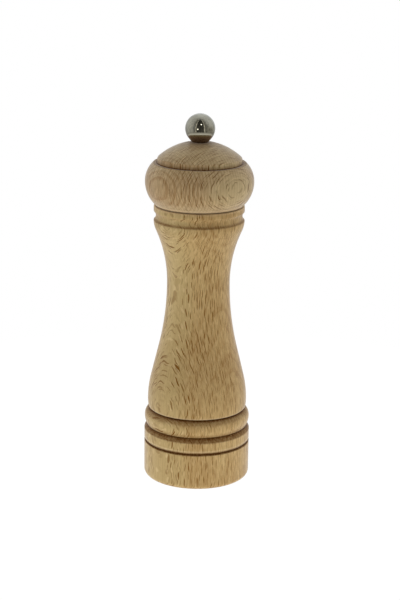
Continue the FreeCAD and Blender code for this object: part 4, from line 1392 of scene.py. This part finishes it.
@dataclass
class Studio:
    """Pale table, soft light and the camera.

    Attributes:
        room_level: Brightness of the plain walls.
        glows: Brighter patches on the walls.
        lamps: Lamps that show as dots in the knob.
        wall_tint: Colour of the walls' light.
        glow_tint: Colour of the patches' light.
        table_size: Radius of the table's mesh in millimetres.
        table_grid: Rows and columns of that mesh.
        table_drop: How far the table lies under the foot, in millimetres.
        table_fade: Distances from the middle in metres between which the table's light falls off.
        table_glow: Brightness of the table's middle and of what is left past the fade.
        table_end: Brightness under which the table is left out.
        camera_place: Where the camera stands, in metres.
        pitch: Degrees that it looks down.
        roll: Degrees that it leans.
        lens: Focal length in millimetres.
        sensor: Width of its sensor in millimetres.
        sight: How far it sees, in metres.
    """

    room_level: float = 0.415
    glows: tuple[Glow, ...] = (
        Glow(-95, 8, 66, 0.32), Glow(145, 40, 70, 0.53), Glow(-145, 40, 70, 0.26), Glow(85, 35, 40, 0.15))
    lamps: tuple[Lamp, ...] = (
        Lamp("small_lamp", -18.5, 5, 0.2, 0.75), Lamp("high_lamp", 10.0, 41, 0.18, 0.65))
    wall_tint: tuple[float, float, float, float] = (1.0, 0.98, 0.93, 1)
    glow_tint: tuple[float, float, float, float] = (0.95, 1.03, 1.2, 1)
    table_size: float = 640.0
    table_grid: tuple[int, int] = (12, 96)
    table_drop: float = 0.2
    table_fade: tuple[float, float] = (0.26, 0.48)
    table_glow: tuple[float, float] = (1.03, 0.4)
    table_end: float = 0.41
    camera_place: tuple[float, float, float] = (0.00104, -0.908, 0.3552)
    pitch: float = 15.49
    roll: float = 0.71
    lens: float = 99.756
    sensor: float = 36.0
    sight: float = 20.0

    def table(self) -> None:
        """Lay a pale round table: a grid of radius and angle, flat just under the foot.

        It is white to the camera. To other rays it fades with distance, and it is clear past the fade and
        from below.
        """
        rows, columns = self.table_grid
        radius = np.linspace(1e-3, self.table_size, rows)[:, None]
        angle = np.linspace(math.pi, -math.pi, columns, endpoint=False)[None, :]
        flat = np.full((rows, columns), -self.table_drop)
        grid = np.stack([radius * np.cos(angle), radius * np.sin(angle), flat], -1)
        piece = make_piece("table", grid.reshape(-1, 3), grid_faces(rows, columns, False))
        made, nodes, shader = new_material("pale_table")
        nodes.tree.nodes.remove(shader)
        away = nodes.measure("LENGTH", nodes.add("ShaderNodeTexCoord").outputs["Object"])
        seen = nodes.add("ShaderNodeLightPath").outputs["Is Camera Ray"]
        strength = nodes.math("MAXIMUM", nodes.spread(away, *self.table_fade, *self.table_glow), seen)
        glow = nodes.add("ShaderNodeEmission", {"Color": (1, 1, 1, 1), "Strength": strength}).outputs[0]
        clear = nodes.add("ShaderNodeBsdfTransparent").outputs[0]
        below = nodes.add("ShaderNodeNewGeometry").outputs["Backfacing"]
        left_out = nodes.math("MAXIMUM", below, nodes.math("LESS_THAN", strength, self.table_end))
        sheet = nodes.add("ShaderNodeMixShader", {0: left_out, 1: glow, 2: clear}).outputs[0]
        nodes.feed(nodes.tree.nodes["Material Output"].inputs, {"Surface": sheet})
        piece.data.materials.append(made)

    def surroundings(self) -> None:
        """Light the room: folded walls with soft glows and a dimmer ceiling, white to the camera.

        Where the camera stands there is a dark gap with a bright line down each side and dimmer walls beside
        those. How far to the side a direction lies is its x over its way forward.
        """
        world = bpy.data.worlds.new("soft_room")
        bpy.context.scene.world = world
        world.use_nodes = True
        nodes = Nodes(world.node_tree)
        sight = nodes.add("ShaderNodeTexCoord").outputs["Generated"]
        way = nodes.parts(sight)
        ahead = nodes.math("MULTIPLY", way[1], -1.0)
        aside = nodes.math("DIVIDE", nodes.math("ABSOLUTE", way[0]), nodes.math("MAXIMUM", ahead, 0.001))
        gap = nodes.spread(aside, 0.5, 0.62, 0.8, 0.0)
        fall = nodes.spread(aside, 0.9, 2.2, 0.42, 0.0)
        dim = nodes.math("MULTIPLY", nodes.spread(aside, 0.72, 0.86), fall)
        end = nodes.spread(aside, 0.66, 0.8, 1.0, 0.0)
        line = nodes.math("MULTIPLY", nodes.spread(aside, 0.56, 0.66), end)
        dark = nodes.math("SUBTRACT", nodes.math("MAXIMUM", gap, dim), nodes.math("MULTIPLY", line, 1.5))
        in_front, above_floor = nodes.spread(ahead, 0.02, 0.25), nodes.spread(way[2], -0.45, -0.3)
        dark = nodes.math("MULTIPLY", nodes.math("MULTIPLY", dark, in_front), above_floor)
        folds = nodes.spread(nodes.noise(sight, (9.0, 9.0, 2.6), 4), 0.3, 0.7, 0.5, 1.5)
        ceiling = nodes.spread(way[2], 0.25, 0.8, 1.0, 0.82)
        level = nodes.math("MULTIPLY", nodes.math("SUBTRACT", 1.0, dark), self.room_level)
        level = nodes.math("MULTIPLY", nodes.math("MULTIPLY", level, folds), ceiling)
        bright, *others = [glow.level(nodes, sight) for glow in self.glows]
        for other in others:
            bright = nodes.math("ADD", bright, other)
        walls = nodes.add("ShaderNodeBackground", {"Color": self.wall_tint, "Strength": level}).outputs[0]
        windows = nodes.add("ShaderNodeBackground", {"Color": self.glow_tint, "Strength": bright}).outputs[0]
        room = nodes.add("ShaderNodeAddShader", {0: walls, 1: windows}).outputs[0]
        white = nodes.add("ShaderNodeBackground", {"Color": (1, 1, 1, 1), "Strength": 1.0}).outputs[0]
        seen = nodes.add("ShaderNodeLightPath").outputs["Is Camera Ray"]
        both = nodes.add("ShaderNodeMixShader", {0: seen, 1: room, 2: white}).outputs[0]
        nodes.feed(nodes.tree.nodes["World Output"].inputs, {"Surface": both})

    def camera(self) -> None:
        """Stand the camera where the photograph was taken."""
        data = bpy.data.cameras.new("camera")
        data.lens = self.lens
        data.sensor_width = self.sensor
        data.clip_end = self.sight
        camera = bpy.data.objects.new("camera", data)
        tilt = Matrix.Rotation(math.radians(90 - self.pitch), 4, "X")
        lean = Matrix.Rotation(math.radians(self.roll), 4, "Z")
        camera.matrix_world = Matrix.Translation(self.camera_place) @ tilt @ lean
        bpy.context.scene.collection.objects.link(camera)
        bpy.context.scene.camera = camera

    def build(self) -> None:
        """Set the whole stage."""
        self.table()
        self.surroundings()
        for lamp in self.lamps:
            lamp.hang()
        self.camera()
        bpy.context.scene.view_settings.view_transform = "Standard"


def main() -> None:
    """Build and dress the mill and set the stage."""
    beech_group()
    edge_group()
    steel_group()
    materials = {finish.name: finish.material() for finish in FINISHES}
    for part in (MillBody(), MillHead(), BallKnob(), SquareShaft(), CoilSpring()):
        part.dress(part.build(), materials)
    GrindingSet().dress(materials)
    Studio().build()


if __name__ == "__main__":
    main()
